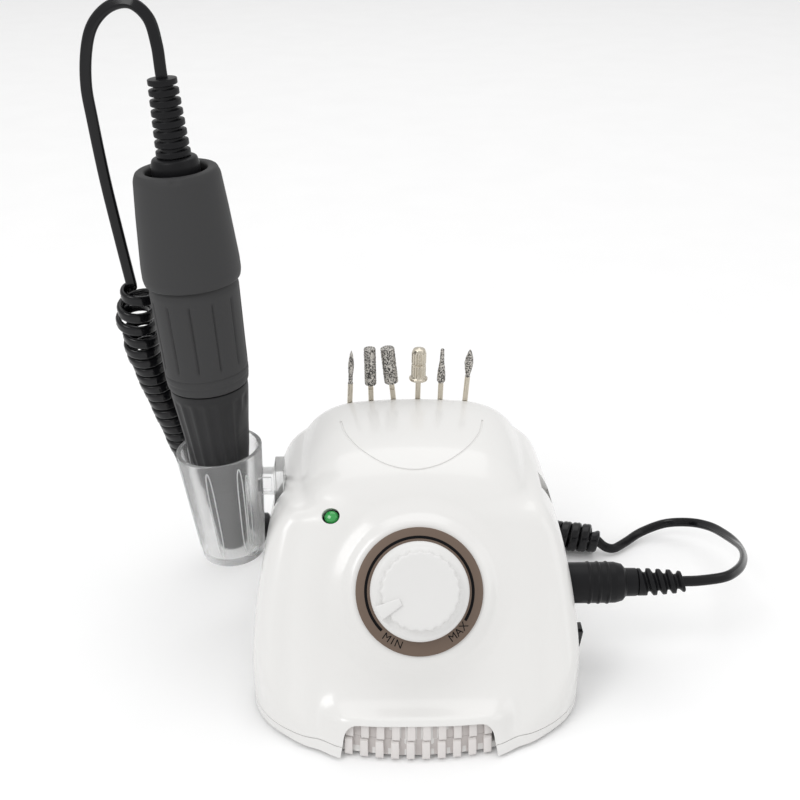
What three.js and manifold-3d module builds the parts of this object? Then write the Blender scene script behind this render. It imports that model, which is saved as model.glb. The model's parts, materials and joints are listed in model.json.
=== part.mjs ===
// Desk-top electric nail drill: a control box with a speed dial, six bits standing in its top, and a
// motor handpiece resting in a clear cup that hangs on the box's left side. Millimetres, +Z up.
// While it is built, X = 0 is the middle of the control box, Y = 0 its front foot line (the front
// faces -Y) and Z = 0 the table. At the end the whole object is moved so that the origin is the
// middle of its footprint, the cords left out.
import * as THREE from 'three';
import { mergeVertices } from 'three/addons/utils/BufferGeometryUtils.js';
import Module from 'manifold-3d';

const wasm = await Module();
wasm.setup();

// Control box
const GAP = 0.3; // clearance between neighbouring pieces
const WALL = 2.4;
const BOX_HALF_WIDTH = 64;
const BOX_DEPTH = 137;
const HOOD_HALF_WIDTH = 49.6;
const TOP_HEIGHT = 88;
const TOP_CREST_Y = 105;
const WING_TOP = 68.3;
const FRONT_BOW = 23; // how far the front corners stand behind the middle of the front
const SHELF_HEIGHT = 13.8; // brow over the front grille
const SHELF_HALF_WIDTH = 33;
const FRONT_LEAN = 0.5; // the brow and its ribs lean back this much per millimetre of height
const PARTING_HEIGHT = 5; // joint between upper housing and base tray
const TRAY_BOTTOM = 1.5;
const TRAY_FLOOR = 3.5;
const SIGHT_POINT = new THREE.Vector3(0, 72, 5); // inside point from which the outer skin is drawn

// Dial: its centre, and the tilt of the panel that carries it
const DIAL = new THREE.Vector3(1, 37.4, 49.1);
const DIAL_TILT = THREE.MathUtils.degToRad(54);
const DIAL_NORMAL = new THREE.Vector3(0, -Math.sin(DIAL_TILT), Math.cos(DIAL_TILT));
const DIAL_UP = new THREE.Vector3(0, Math.cos(DIAL_TILT), Math.sin(DIAL_TILT));
const DIAL_RADIUS = 24.4;
const DIAL_HOLE_RADIUS = 15;
const PANEL_SETBACK = 4.6; // the panel lies this far behind the dial plate's face
const BOSS_SETBACK = 1.3; // the round boss under the plate
const KNOB_RADIUS = 18.9;
const KNOB_HEIGHT = 12;
const KNOB_REST_ANGLE = 207; // where the pointer stands, in degrees from the right
const SHAFT_RADIUS = 3;
const LED = new THREE.Vector3(-33, 58.6, 70);
const LED_HOLE_RADIUS = 3;

// Front grille
const RIB_COUNT = 10;
const RIB_PITCH = 5.75;
const RIB_WIDTH = 3;
const GRILLE_SPLIT = 6.9; // height at which the two tiers of ribs meet
const ARCH_HALF_WIDTH = 28.2;
const ARCH_HEIGHT = 12.3;
const ARCH_BACK = 0.9; // the recessed walls behind the ribs start here at the foot
const GRILLE_BOW = 0.0048; // the grille is curved: it lies this times x squared further back
const GRILLE_WALL_HALF = 27.8; // half width of the tray's recessed wall

// Bits: name, place along the row, lean to the right in degrees
const BIT_ROW_Y = 129;
const BIT_SEAT_HEIGHT = 69;
const BIT_SHANK_RADIUS = 1.175;
const BITS = [
  { name: 'needle_bit', x: -27.2, lean: 2.7 },
  { name: 'long_barrel_bit', x: -16.9, lean: -0.9 },
  { name: 'wide_barrel_bit', x: -5.6, lean: -6.1 },
  { name: 'sanding_mandrel', x: 2.9, lean: 1.2 },
  { name: 'cone_bit', x: 12.6, lean: 1.7 },
  { name: 'flame_bit', x: 22.9, lean: 4.1 },
];

// Handpiece and its cup share one leaning axis
const CUP_MOUTH = new THREE.Vector3(-78.7, 87.7, 85);
const AXIS_LEAN = THREE.MathUtils.degToRad(3.75);
const CUP_DEPTH = 50;
const CUP_MOUTH_RADIUS = 17.3;
const CUP_BASE_RADIUS = 12.9;
const CUP_WALL = 1.8;
const TIP_IN_CUP = 4; // the nose tip stands this far above the cup's underside
const CUP_ARM_Y = 87.7;

// Handpiece stations, measured up its axis from the nose tip
const NOSE_END = 30;
const RING_END = 75.3;
const COVER_START = 118.8;
const COVER_END = 161;
const COLLAR_END = 165.5;
const BOOT_END = 194.5;

// Right side: plug and power switch. Rear: sockets, fuse and direction switch
const PLUG = new THREE.Vector3(60.2, 57.2, 38);
const PLUG_BARREL_RADIUS = 8.4;
const POWER_SWITCH = new THREE.Vector3(63.8, 52, 14.2);
const DIRECTION_SWITCH = new THREE.Vector3(-14, 137, 30);
const PEDAL_SOCKET = new THREE.Vector3(-38, 137, 30);
const FUSE = new THREE.Vector3(8, 137, 30);
const MAINS_INLET = new THREE.Vector3(31, 137, 32);

// Cords: a flat twin cable 4.2 mm wide, wound into a curly length that hangs behind the handpiece
// and runs on the table behind the box
const CABLE_RADIUS = 2.1;
const CURL_RADIUS = 7.6;
const LOOP_ROUTE = [
  [-88.5, 87.8, 234.1], [-89.1, 88, 243], [-91.3, 88.7, 251.6], [-97.2, 90.1, 256.4],
  [-104.9, 92.1, 254.9], [-111.4, 93.4, 248.9], [-114.9, 94.4, 240.1], [-116.7, 95.5, 227.9],
  [-116.2, 96.5, 215.3], [-114.6, 98.4, 192.6], [-112.1, 100.4, 168.7], [-110, 102.5, 149],
  [-109.5, 103.6, 139.4],
];
const CURL_ROUTE = [
  [-109.5, 103.7, 139], [-109.2, 107.3, 121.9], [-106.3, 112.3, 103.8], [-102, 117.2, 84.8],
  [-97.8, 122.6, 65.5], [-92.6, 130, 42], [-84.5, 138.6, 20.5], [-71, 145.8, 9.6],
  [-50, 148.6, 7.9], [-20, 149, 7.9], [20, 148.8, 7.9], [48, 147, 7.9],
  [62, 142.4, 7.9], [73, 137.6, 7.9], [87.4, 135, 7.9],
];
const TAIL_ROUTE = [
  [89.4, 134.3, 7.4], [91.8, 132.8, 5.4], [96.5, 132.6, 3.6], [103, 137.6, 3.2],
  [112.5, 144.6, 4.6], [124, 146.6, 8], [134.3, 141.2, 12], [140.8, 131, 16.2],
  [143.7, 116.4, 21], [144.2, 100.7, 26], [142.1, 87, 30.4], [137.4, 74.4, 34],
  [131.4, 65.2, 36.6], [124.9, 59.6, 38], [115, 57.3, 38.2], [107.6, 57.2, 38],
];

// Finishes
function finish(color, roughness, metalness = 0, opacity = 1) {
  return new THREE.MeshStandardMaterial({
    color, roughness, metalness, opacity, transparent: opacity < 1,
  });
}
const GLOSS_WHITE = finish(0xf2f1ee, 0.22);
const GRILLE_WHITE = finish(0xe6e2de, 0.4);
const BRONZE = finish(0x7d6f64, 0.4, 0.8);
const GREEN_LENS = finish(0x1c8a34, 0.2);
const BLACK = finish(0x161617, 0.45);
const CLEAR = finish(0xdfe2e3, 0.3, 0, 0.45);
const CHARCOAL = finish(0x3b3d40, 0.6);
const DARK_CHARCOAL = finish(0x2b2c2e, 0.5);
const STEEL = finish(0xc9c3b4, 0.28, 1);
const COPPER = finish(0xa8663a, 0.4, 0.9);
const IRON = finish(0x55575a, 0.6, 0.6);
const BOARD_GREEN = finish(0x2b6b3f, 0.6);
const RUBBER = finish(0x222222, 0.9);
const GRIT = finish(0x9c9a94, 0.8, 0.4);

// ---- Solids -------------------------------------------------------------------------------------

// A closed geometry as a solid with its faces pointing out.
function solid(geometry) {
  const bare = geometry.clone();
  bare.deleteAttribute('normal');
  bare.deleteAttribute('uv');
  const merged = mergeVertices(bare, 1e-4);
  const points = merged.attributes.position.array;
  const triangles = [];
  let volume = 0;
  const corners = [new THREE.Vector3(), new THREE.Vector3(), new THREE.Vector3()];
  for (let i = 0; i < merged.index.count; i += 3) {
    const [a, b, c] = merged.index.array.slice(i, i + 3);
    if (a === b || b === c || c === a) continue;
    [a, b, c].forEach((index, k) => corners[k].fromArray(points, 3 * index));
    volume += corners[0].dot(corners[1].clone().cross(corners[2]));
    triangles.push([a, b, c]);
  }
  const facingOut = volume > 0 ? triangles : triangles.map(([a, b, c]) => [a, c, b]);
  return new wasm.Manifold(new wasm.Mesh({
    numProp: 3,
    vertProperties: new Float32Array(points),
    triVerts: new Uint32Array(facingOut.flat()),
  }));
}

function geometryOf(body) {
  const mesh = body.getMesh();
  const geometry = new THREE.BufferGeometry();
  geometry.setAttribute('position', new THREE.BufferAttribute(mesh.vertProperties, 3));
  geometry.setIndex(new THREE.BufferAttribute(mesh.triVerts, 1));
  return geometry;
}

function union(bodies) {
  return bodies.reduce((joined, body) => joined.add(body));
}

// A profile of [radius, height] points turned about +Z. It starts and ends on the axis, or closes
// on itself.
function latheGeometry(profile, segments = 28) {
  const closed = profile[0][0] > 0 ? [...profile, profile[0]] : profile;
  const points = closed.map(([radius, height]) => new THREE.Vector2(radius, height));
  return new THREE.LatheGeometry(points, segments).rotateX(Math.PI / 2);
}
const lathe = (profile, segments) => solid(latheGeometry(profile, segments));

function rodGeometry(radius, from, to, segments) {
  return latheGeometry([[0, from], [radius, from], [radius, to], [0, to]], segments);
}
const rod = (radius, from, to, segments) => solid(rodGeometry(radius, from, to, segments));
const tube = (inner, outer, from, to, segments) => (
  lathe([[inner, from], [outer, from], [outer, to], [inner, to]], segments)
);

function blockGeometry([x0, x1], [y0, y1], [z0, z1]) {
  const geometry = new THREE.BoxGeometry(x1 - x0, y1 - y0, z1 - z0);
  return geometry.translate((x0 + x1) / 2, (y0 + y1) / 2, (z0 + z1) / 2);
}
const block = (x, y, z) => solid(blockGeometry(x, y, z));

// An outline in the X-Z plane, run along +Y from y0 to y1.
function prismAlongY(outline, y0, y1) {
  const shape = outline instanceof THREE.Shape
    ? outline
    : new THREE.Shape(outline.map(([x, z]) => new THREE.Vector2(x, z)));
  const geometry = new THREE.ExtrudeGeometry(shape, {
    depth: y1 - y0, bevelEnabled: false, curveSegments: 5,
  });
  return solid(geometry.rotateX(Math.PI / 2).translate(0, y1, 0));
}

// A cable or a curly cord's outer shape along a route of points.
function cordSolid(route, radius, sides, steps) {
  const curve = new THREE.CatmullRomCurve3(route.map((point) => new THREE.Vector3(...point)));
  const section = new THREE.Shape();
  for (let i = 0; i < sides; i += 1) {
    const angle = (i / sides) * 2 * Math.PI;
    section[i ? 'lineTo' : 'moveTo'](radius * Math.cos(angle), radius * Math.sin(angle));
  }
  return solid(new THREE.ExtrudeGeometry(section, { steps, extrudePath: curve }));
}

// ---- The control box's outer form ---------------------------------------------------------------

// The larger of two distances, with the edge between them rounded over about k.
function roundMax(a, b, k) {
  const overlap = Math.max(k - Math.abs(a - b), 0);
  return Math.max(a, b) + (overlap * overlap) / (4 * k);
}
const roundMin = (a, b, k) => -roundMax(-a, -b, k);

const frontBow = (x) => FRONT_BOW * (Math.abs(x) / 60) ** 3;

// Distance of a point from the sloping dial panel. It curves forward towards its foot, and its
// round boss swells up to just under the dial plate.
function panelDistance(x, y, z, recess) {
  const offset = new THREE.Vector3(x, y, z).sub(DIAL);
  const height = offset.dot(DIAL_NORMAL);
  const radius = Math.sqrt(Math.max(offset.lengthSq() - height * height, 0));
  const down = Math.max(-offset.dot(DIAL_UP), 0);
  const skirt = THREE.MathUtils.smoothstep(37 - radius, 0, 10) * 1.6;
  const panel = 0.00115 * down ** 2 - PANEL_SETBACK + skirt;
  const boss = THREE.MathUtils.smoothstep(30.5 - radius, 0, 5);
  return height + recess - THREE.MathUtils.lerp(panel, -BOSS_SETBACK, boss);
}

// Distance of a point from the outer skin, negative inside. The hood is the tall middle, a wing is
// the lower panel on either side, and the shelf is the brow over the grille.
function boxDistance(x, y, z) {
  const side = Math.abs(x);
  const front = (frontBow(x) - 1.2 - y) / 1.15;
  const rear = y - BOX_DEPTH;
  const behindCrest = y - TOP_CREST_Y;
  const rise = behindCrest < 0 ? 7 * (behindCrest / 46) ** 2 : 2 * (behindCrest / 26) ** 2;
  const top = z - (TOP_HEIGHT - rise - 1.8 * (x / 30) ** 2);
  const dome = roundMax(top, side - HOOD_HALF_WIDTH, 26);
  const hood = roundMax(roundMax(panelDistance(x, y, z, 0), front, 4), dome, 11);
  const bulge = 0.003 * Math.max(z - 15, 0) ** 2 + 0.0004 * (y - 60) ** 2;
  const wingSide = side - (BOX_HALF_WIDTH - bulge);
  const wingTop = roundMax(0.8 * (z - WING_TOP) + 0.57 * (side - 56), z - WING_TOP - 3, 3);
  const wingFront = roundMax(panelDistance(x, y, z, 1.2), front, 4);
  const wing = roundMax(roundMax(wingFront, wingTop, 5), wingSide, 9);
  const shelfTop = z - SHELF_HEIGHT - 0.05 * y;
  const shelfFront = FRONT_LEAN * (z - TRAY_BOTTOM) + 0.8 * frontBow(x) - 1.5 - y;
  const shelf = roundMax(roundMax(shelfTop, 0.9 * shelfFront, 2), side - SHELF_HALF_WIDTH, 7);
  const body = roundMax(roundMin(hood, wing, 3), rear, 14);
  return roundMin(body, roundMax(shelf, y - 30, 4), 7);
}

// The form that lies `inset` inside the outer skin, drawn along rays from the sight point.
function boxForm(inset, columns = 36, rows = 16) {
  const lowest = THREE.MathUtils.degToRad(-14);
  const positions = [];
  const rayPoint = (azimuth, elevation) => {
    const ray = new THREE.Vector3(
      Math.cos(elevation) * Math.sin(azimuth),
      -Math.cos(elevation) * Math.cos(azimuth),
      Math.sin(elevation),
    );
    let near = 1;
    let far = 160;
    for (let i = 0; i < 30; i += 1) {
      const reach = (near + far) / 2;
      const point = SIGHT_POINT.clone().addScaledVector(ray, reach);
      if (boxDistance(point.x, point.y, point.z) + inset < 0) near = reach;
      else far = reach;
    }
    return SIGHT_POINT.clone().addScaledVector(ray, near);
  };
  for (let row = 0; row < rows; row += 1) {
    const elevation = lowest + (row / rows) * (Math.PI / 2 - lowest);
    for (let column = 0; column < columns; column += 1) {
      const turn = (column / columns) * 2 * Math.PI;
      positions.push(...rayPoint(turn, elevation).toArray());
    }
  }
  const top = positions.length / 3;
  positions.push(...rayPoint(0, Math.PI / 2).toArray());
  positions.push(SIGHT_POINT.x, SIGHT_POINT.y, -12);
  const triangles = [];
  for (let column = 0; column < columns; column += 1) {
    const next = (column + 1) % columns;
    for (let row = 0; row + 1 < rows; row += 1) {
      const a = row * columns + column;
      const b = row * columns + next;
      triangles.push(a, b, b + columns, a, b + columns, a + columns);
    }
    triangles.push(top - columns + column, top - columns + next, top);
    triangles.push(next, column, top + 1);
  }
  const geometry = new THREE.BufferGeometry();
  geometry.setAttribute('position', new THREE.Float32BufferAttribute(positions, 3));
  geometry.setIndex(triangles);
  return solid(geometry);
}

const outerForm = boxForm(0);
const innerForm = boxForm(WALL);
const FAR = 200;
const allX = [-FAR, FAR];
const allY = [-FAR, FAR];
const insideOuter = (body) => body.intersect(outerForm);

// ---- Frames of reference ------------------------------------------------------------------------

function frameAt(position, rotation) {
  const group = new THREE.Group();
  group.position.copy(position);
  group.rotation.set(...rotation);
  group.updateMatrixWorld();
  return group;
}
const box = new THREE.Group();
const dial = frameAt(DIAL, [DIAL_TILT, 0, 0]);
const leanAxis = new THREE.Vector3(-Math.sin(AXIS_LEAN), 0, Math.cos(AXIS_LEAN));
const cup = frameAt(CUP_MOUTH.clone().addScaledVector(leanAxis, -CUP_DEPTH), [0, -AXIS_LEAN, 0]);
const noseTip = cup.position.clone().addScaledVector(leanAxis, TIP_IN_CUP);
const handpiece = frameAt(noseTip, [0, -AXIS_LEAN, 0]);
const bitFrames = BITS.map(({ x, lean }) => (
  frameAt(new THREE.Vector3(x, BIT_ROW_Y, BIT_SEAT_HEIGHT), [0, THREE.MathUtils.degToRad(lean), 0])
));
const plug = frameAt(PLUG, [0, Math.PI / 2, 0]);
const rearward = (place) => frameAt(place, [-Math.PI / 2, 0, 0]);
const powerSwitch = frameAt(POWER_SWITCH, [Math.PI / 2, Math.PI / 2, 0]);
const directionSwitch = frameAt(DIRECTION_SWITCH, [-Math.PI / 2, 0, Math.PI]);
const pedalSocket = rearward(PEDAL_SOCKET);
const fuse = rearward(FUSE);
const mainsInlet = rearward(MAINS_INLET);
const led = frameAt(LED, [DIAL_TILT * 0.75, -0.15, 0]);

function frameChild(parent, x, y, z = 0) {
  const group = new THREE.Group();
  group.position.set(x, y, z);
  parent.add(group);
  return group;
}

// A geometry made in a group's own frame, as a solid in the box's frame.
const inBox = (geometry, group) => solid(geometry.clone().applyMatrix4(group.matrixWorld));

function piece(group, name, body, material) {
  const mesh = new THREE.Mesh(geometryOf(body), material);
  mesh.name = name;
  group.add(mesh);
  return mesh;
}

// ---- Housing ------------------------------------------------------------------------------------

const rib = (index) => (index - (RIB_COUNT - 1) / 2) * RIB_PITCH;

function archOutline(halfWidth, height) {
  const corner = 6;
  const outline = new THREE.Shape();
  outline.moveTo(-halfWidth - 1.5, -1);
  outline.lineTo(halfWidth + 1.5, -1);
  outline.lineTo(halfWidth, height - corner);
  outline.quadraticCurveTo(halfWidth - 0.5, height, halfWidth - corner, height);
  outline.lineTo(corner - halfWidth, height);
  outline.quadraticCurveTo(0.5 - halfWidth, height, -halfWidth, height - corner);
  return outline;
}

// A solid bent and sheared so that it follows the curve of the grille and leans back with it.
function leaning(body) {
  return body.refineToLength(6).warp((point) => {
    point[1] += FRONT_LEAN * (point[2] - TRAY_BOTTOM) + GRILLE_BOW * point[0] * point[0];
  });
}
const arch = leaning(prismAlongY(archOutline(ARCH_HALF_WIDTH, ARCH_HEIGHT), -20, ARCH_BACK));

// Ribs of one tier between two heights. Each stands out from the recessed wall behind the arch.
function ribTier(z0, z1, front, offset) {
  const ribs = [];
  for (let i = 0; i < RIB_COUNT; i += 1) {
    const x = rib(i) + offset;
    ribs.push(block([x - RIB_WIDTH / 2, x + RIB_WIDTH / 2], [front, ARCH_BACK + 3.2], [z0, z1]));
  }
  return leaning(union(ribs));
}

// The pocket in a wing that the cup's hanger drops into. sign is -1 on the left.
const across = (sign, near, far) => [sign * near, sign * far].sort((a, b) => a - b);
const pocketBlock = (sign) => (
  block(across(sign, 49.5, 62), [CUP_ARM_Y - 9.2, CUP_ARM_Y + 9.2], [46, 74])
);
const pocketCut = (sign) => (
  block(across(sign, 52.4, 57.2), [CUP_ARM_Y - 6.7, CUP_ARM_Y + 6.7], [48.5, FAR])
    .add(block(across(sign, 57, 70), [CUP_ARM_Y - 3.4, CUP_ARM_Y + 3.4], [62.5, FAR]))
);

const screwPlaces = [[-44, 26], [44, 26], [-47, 121], [47, 121]];
const screwPost = ([x, y]) => (
  block(
    y < 60 ? [x - 4, x + 4] : across(Math.sign(x), 43, 62),
    [y - 4, y + 4],
    [PARTING_HEIGHT, y < 60 ? 40 : 30],
  )
);

function upperHousing() {
  const bitHoleRadius = BIT_SHANK_RADIUS + GAP + 0.1;
  const switchHole = blockGeometry([-4.6, 4.6], [-7.6, 7.6], [-12, 9]);
  const aboveParting = block(allX, allY, [PARTING_HEIGHT, FAR]);
  const grilleWall = leaning(block(
    [-SHELF_HALF_WIDTH, SHELF_HALF_WIDTH], [ARCH_BACK, ARCH_BACK + 4.6], [GRILLE_SPLIT + 0.1, 19],
  ));
  const sleeves = bitFrames.map((frame) => inBox(rodGeometry(3.2, -2, 30, 8), frame));
  const inner = [
    grilleWall,
    ...sleeves,
    pocketBlock(-1),
    pocketBlock(1),
    ...screwPlaces.map(screwPost),
  ].map(insideOuter);
  const holes = [
    pocketCut(-1),
    pocketCut(1),
    inBox(rodGeometry(4.9, -20, 5, 20), dial),
    inBox(rodGeometry(LED_HOLE_RADIUS, -8, 8, 14), led),
    inBox(rodGeometry(4.6, -12, 4, 16), plug),
    inBox(rodGeometry(PLUG_BARREL_RADIUS + GAP, -0.2, 4, 24), plug),
    inBox(switchHole, powerSwitch),
    inBox(switchHole, directionSwitch),
    inBox(rodGeometry(5, -12, 8, 16), pedalSocket),
    inBox(rodGeometry(5.6, -12, 8, 16), fuse),
    inBox(blockGeometry([-10.4, 10.4], [-6.2, 6.2], [-12, 9]), mainsInlet),
    ...bitFrames.map((frame) => inBox(rodGeometry(bitHoleRadius, 0, 40, 8), frame)),
    ...screwPlaces.map(([x, y]) => solid(rodGeometry(1.5, 0, 15, 10).translate(x, y, 0))),
  ];
  const shell = outerForm.subtract(innerForm).subtract(arch);
  const tier = ribTier(GRILLE_SPLIT + 0.1, ARCH_HEIGHT + 1.2, -0.9, 0).intersect(outerForm);
  const trayWallSpace = leaning(block(
    [-GRILLE_WALL_HALF, GRILLE_WALL_HALF], [ARCH_BACK - 0.4, ARCH_BACK + 4.8], [0, GRILLE_SPLIT + 0.05],
  ));
  return union([shell, ...inner])
    .intersect(aboveParting)
    .subtract(trayWallSpace)
    .add(tier)
    .subtract(union(holes));
}

function baseTray() {
  const slab = outerForm.intersect(block(allX, allY, [TRAY_BOTTOM, PARTING_HEIGHT - GAP]));
  const hollow = innerForm.intersect(block(allX, allY, [TRAY_FLOOR, FAR]));
  const wall = leaning(block(
    [GAP - GRILLE_WALL_HALF, GRILLE_WALL_HALF - GAP], [ARCH_BACK, ARCH_BACK + 4.2],
    [TRAY_BOTTOM, GRILLE_SPLIT - 0.2],
  ));
  const ribs = ribTier(TRAY_BOTTOM - 0.6, GRILLE_SPLIT - 0.2, -1.8, -0.4);
  const holes = screwPlaces.flatMap(([x, y]) => [
    solid(rodGeometry(1.6, 0, 9, 10).translate(x, y, 0)),
    solid(rodGeometry(3.3, 0, 2.5, 14).translate(x, y, 0)),
  ]);
  return union([slab.subtract(hollow).subtract(arch), wall, ribs]).subtract(union(holes));
}

piece(box, 'upper_housing', upperHousing(), GLOSS_WHITE);
piece(box, 'base_tray', baseTray(), GRILLE_WHITE);
screwPlaces.forEach(([x, y], index) => {
  const screw = lathe([[0, 1.6], [2.9, 1.6], [2.9, 2.2], [1.2, 2.2], [1.2, 13], [0, 14]], 10);
  piece(frameChild(box, x, y), `case_screw_${index + 1}`, screw, STEEL);
});
[[-46, 36], [46, 36], [-46, 108], [46, 108]].forEach(([x, y], index) => {
  const foot = lathe([[0, 0], [4.6, 0], [5, 0.4], [5, TRAY_BOTTOM - GAP], [0, TRAY_BOTTOM - GAP]], 14);
  piece(frameChild(box, x, y), `rubber_foot_${index + 1}`, foot, RUBBER);
});
const lensRadius = LED_HOLE_RADIUS - 0.4;
piece(led, 'led_lens', lathe([
  [0, -7], [lensRadius, -7], [lensRadius, -2.4], [1.8, -1.2], [0, -0.9],
], 16), GREEN_LENS);

// ---- Dial, potentiometer and knob ---------------------------------------------------------------

function knobSolid() {
  const cap = lathe([
    [0, 0.4], [KNOB_RADIUS - 0.4, 0.4], [KNOB_RADIUS, 1], [KNOB_RADIUS, 4.4],
    [KNOB_RADIUS - 1.2, 6], [15.6, 7], [14.6, 10.8], [13.4, KNOB_HEIGHT], [0, KNOB_HEIGHT],
  ], 24);
  const pointer = new THREE.Shape([[-0.9, 8.5], [0.9, 8.5], [2.9, 17.6], [-2.9, 17.6]]
    .map(([x, y]) => new THREE.Vector2(x, y)));
  const pointerAngle = THREE.MathUtils.degToRad(KNOB_REST_ANGLE - 90);
  const wedge = solid(new THREE.ExtrudeGeometry(pointer, { depth: 6.6, bevelEnabled: false })
    .translate(0, 0, KNOB_HEIGHT - 5.8)
    .rotateZ(pointerAngle));
  return cap.add(wedge)
    .subtract(rod(12, 0, 3.2, 24))
    .subtract(rod(SHAFT_RADIUS + GAP, 0, 9.6, 16));
}
const nutOutline = new THREE.Shape(Array.from({ length: 6 }, (_, i) => (
  new THREE.Vector2(6.6 * Math.cos((i * Math.PI) / 3), 6.6 * Math.sin((i * Math.PI) / 3))
)));
const nut = solid(new THREE.ExtrudeGeometry(nutOutline, { depth: 2, bevelEnabled: false }))
  .translate([0, 0, -1])
  .subtract(rod(4.4 + GAP, -3, 3, 20));
const potentiometer = union([rod(12, -16, -5.2, 24), rod(4.4, -5.4, 2.4, 20)])
  .subtract(rod(SHAFT_RADIUS + GAP, -13, 3, 16));
piece(dial, 'dial_plate', tube(DIAL_HOLE_RADIUS, DIAL_RADIUS, -1, 0, 36), BRONZE);
piece(dial, 'potentiometer_body', potentiometer, IRON);
piece(dial, 'potentiometer_nut', nut, STEEL);
piece(dial, 'speed_knob', knobSolid(), GLOSS_WHITE);
piece(dial, 'potentiometer_shaft', rod(SHAFT_RADIUS, -12.5, 9.2, 16), STEEL);

// ---- Switches, sockets and the inside of the box ------------------------------------------------

// A rocker switch whose face looks along +Z of its own group, with the rocker's hinge along X.
function switchBody() {
  return block([-5.3, 5.3], [-7.9, 7.9], [0.3, 1.2])
    .add(block([-4.3, 4.3], [-7.3, 7.3], [-11.5, 0.4]))
    .subtract(block([-3.6, 3.6], [-6.7, 6.7], [-8, 2]));
}
const rockerOutline = [
  [-5.2, -1.5], [-1.2, -4.4], [1.2, -4.4], [5.2, -1.5], [5.5, 3.9], [0, 3.5], [-5.3, 1.1],
];
const rockerSolid = () => prismAlongY(rockerOutline, -3.3, 3.3);
[['power', powerSwitch], ['direction', directionSwitch]].forEach(([name, group]) => {
  piece(group, `${name}_switch_body`, switchBody(), BLACK);
  const rocker = piece(group, `${name}_rocker`, rockerSolid(), BLACK);
  rocker.rotation.z = Math.PI / 2;
});

const socket = union([rod(6.6, -17, -4.8, 18), rod(4.3, -5, -1.2, 14)]).subtract(rod(3.1, -15.6, 1, 14));
piece(plug, 'handpiece_socket', socket, BLACK);
piece(pedalSocket, 'pedal_socket', lathe([
  [3.2, -12], [3.2, 2], [5.8, 2], [6.4, 1.4], [6.4, 0.4], [4.7, 0.4], [4.7, -14], [0, -14], [0, -12],
], 14), BLACK);
piece(fuse, 'fuse_holder', lathe([
  [0, -16], [5.2, -16], [5.2, 0.4], [7, 0.4], [7, 2.4], [5.6, 3.4], [5.6, 5.6], [0, 5.6],
], 16), BLACK);
const inletRecess = block([-8, 8], [-3.6, 3.6], [-9, 4]);
const inletPins = [-3.8, 3.8].map((x) => rod(1.1, -10, -1, 8).translate([x, 0, 0]));
piece(mainsInlet, 'mains_inlet', union([
  block([-10, 10], [-5.8, 5.8], [-13, 0.5]),
  block([-12, 12], [-7.4, 7.4], [0.4, 1.8]),
]).subtract(inletRecess).add(union(inletPins)), BLACK);

// A small mains transformer: a laminated core with two windows, and the winding on its middle leg.
const transformer = frameChild(box, -22, 98, 27);
const coreWindow = (sign) => block(across(sign, 8, 16), allY, [-12, 12]);
const core = block([-24, 24], [-8, 8], [-20, 20]).subtract(coreWindow(-1)).subtract(coreWindow(1));
piece(transformer, 'transformer_core', core, IRON);
piece(transformer, 'transformer_winding', block([-15.6, 15.6], [-15, 15], [-11.6, 11.6])
  .subtract(block([-8.4, 8.4], [-8.4, 8.4], [-20, 20])), COPPER);

const circuit = frameChild(box, 28, 88, 9);
piece(circuit, 'circuit_board', block([-21, 21], [-30, 26], [0, 1.6]), BOARD_GREEN);
piece(circuit, 'heat_sink', union([
  block([-4, 18], [12, 15], [2, 26]),
  ...[-4, 1, 6, 11, 16].map((x) => block([x, x + 2], [14, 24], [2, 26])),
]), STEEL);
piece(circuit, 'smoothing_capacitor', rod(6.3, 2, 24, 20).translate([-10, -16, 0]), IRON);

// ---- Bits ---------------------------------------------------------------------------------------

// Heads are profiles of [radius, height above the end of the shank's own axis].
const shank = [[0, 0.5], [BIT_SHANK_RADIUS, 0.5]];
const BIT_HEADS = {
  needle_bit: [[1.175, 24.4], [0.9, 25.2], [0.95, 28], [1.25, 32], [1.2, 34.4], [0.6, 38.4], [0, 40]],
  long_barrel_bit: [[1.175, 23.2], [0.9, 23.5], [2.4, 23.8], [2.6, 24.6], [2.6, 40.6], [2.3, 41], [0, 41]],
  wide_barrel_bit: [[1.175, 24.3], [1.4, 24.6], [3, 24.9], [3.1, 25.6], [3.1, 40.9], [0, 41.3]],
  sanding_mandrel: [[1.175, 25.8], [4.1, 26], [4.1, 27], [3.25, 27.3], [3.25, 39], [2.4, 40.6], [0, 41]],
  cone_bit: [[1.175, 24.4], [0.9, 24.7], [1.8, 25], [1.85, 27], [1.7, 30], [0.95, 37], [0.8, 40], [0, 40.6]],
  flame_bit: [[1.175, 27.2], [0.95, 28], [1.5, 30.4], [1.95, 33.8], [1.6, 36.6], [0.7, 39.2], [0, 40.2]],
};
BITS.forEach(({ name }, index) => {
  const isMandrel = name === 'sanding_mandrel';
  piece(bitFrames[index], name, lathe([...shank, ...BIT_HEADS[name]], 10), isMandrel ? STEEL : GRIT);
});

// ---- Cup and its hanger -------------------------------------------------------------------------

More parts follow.
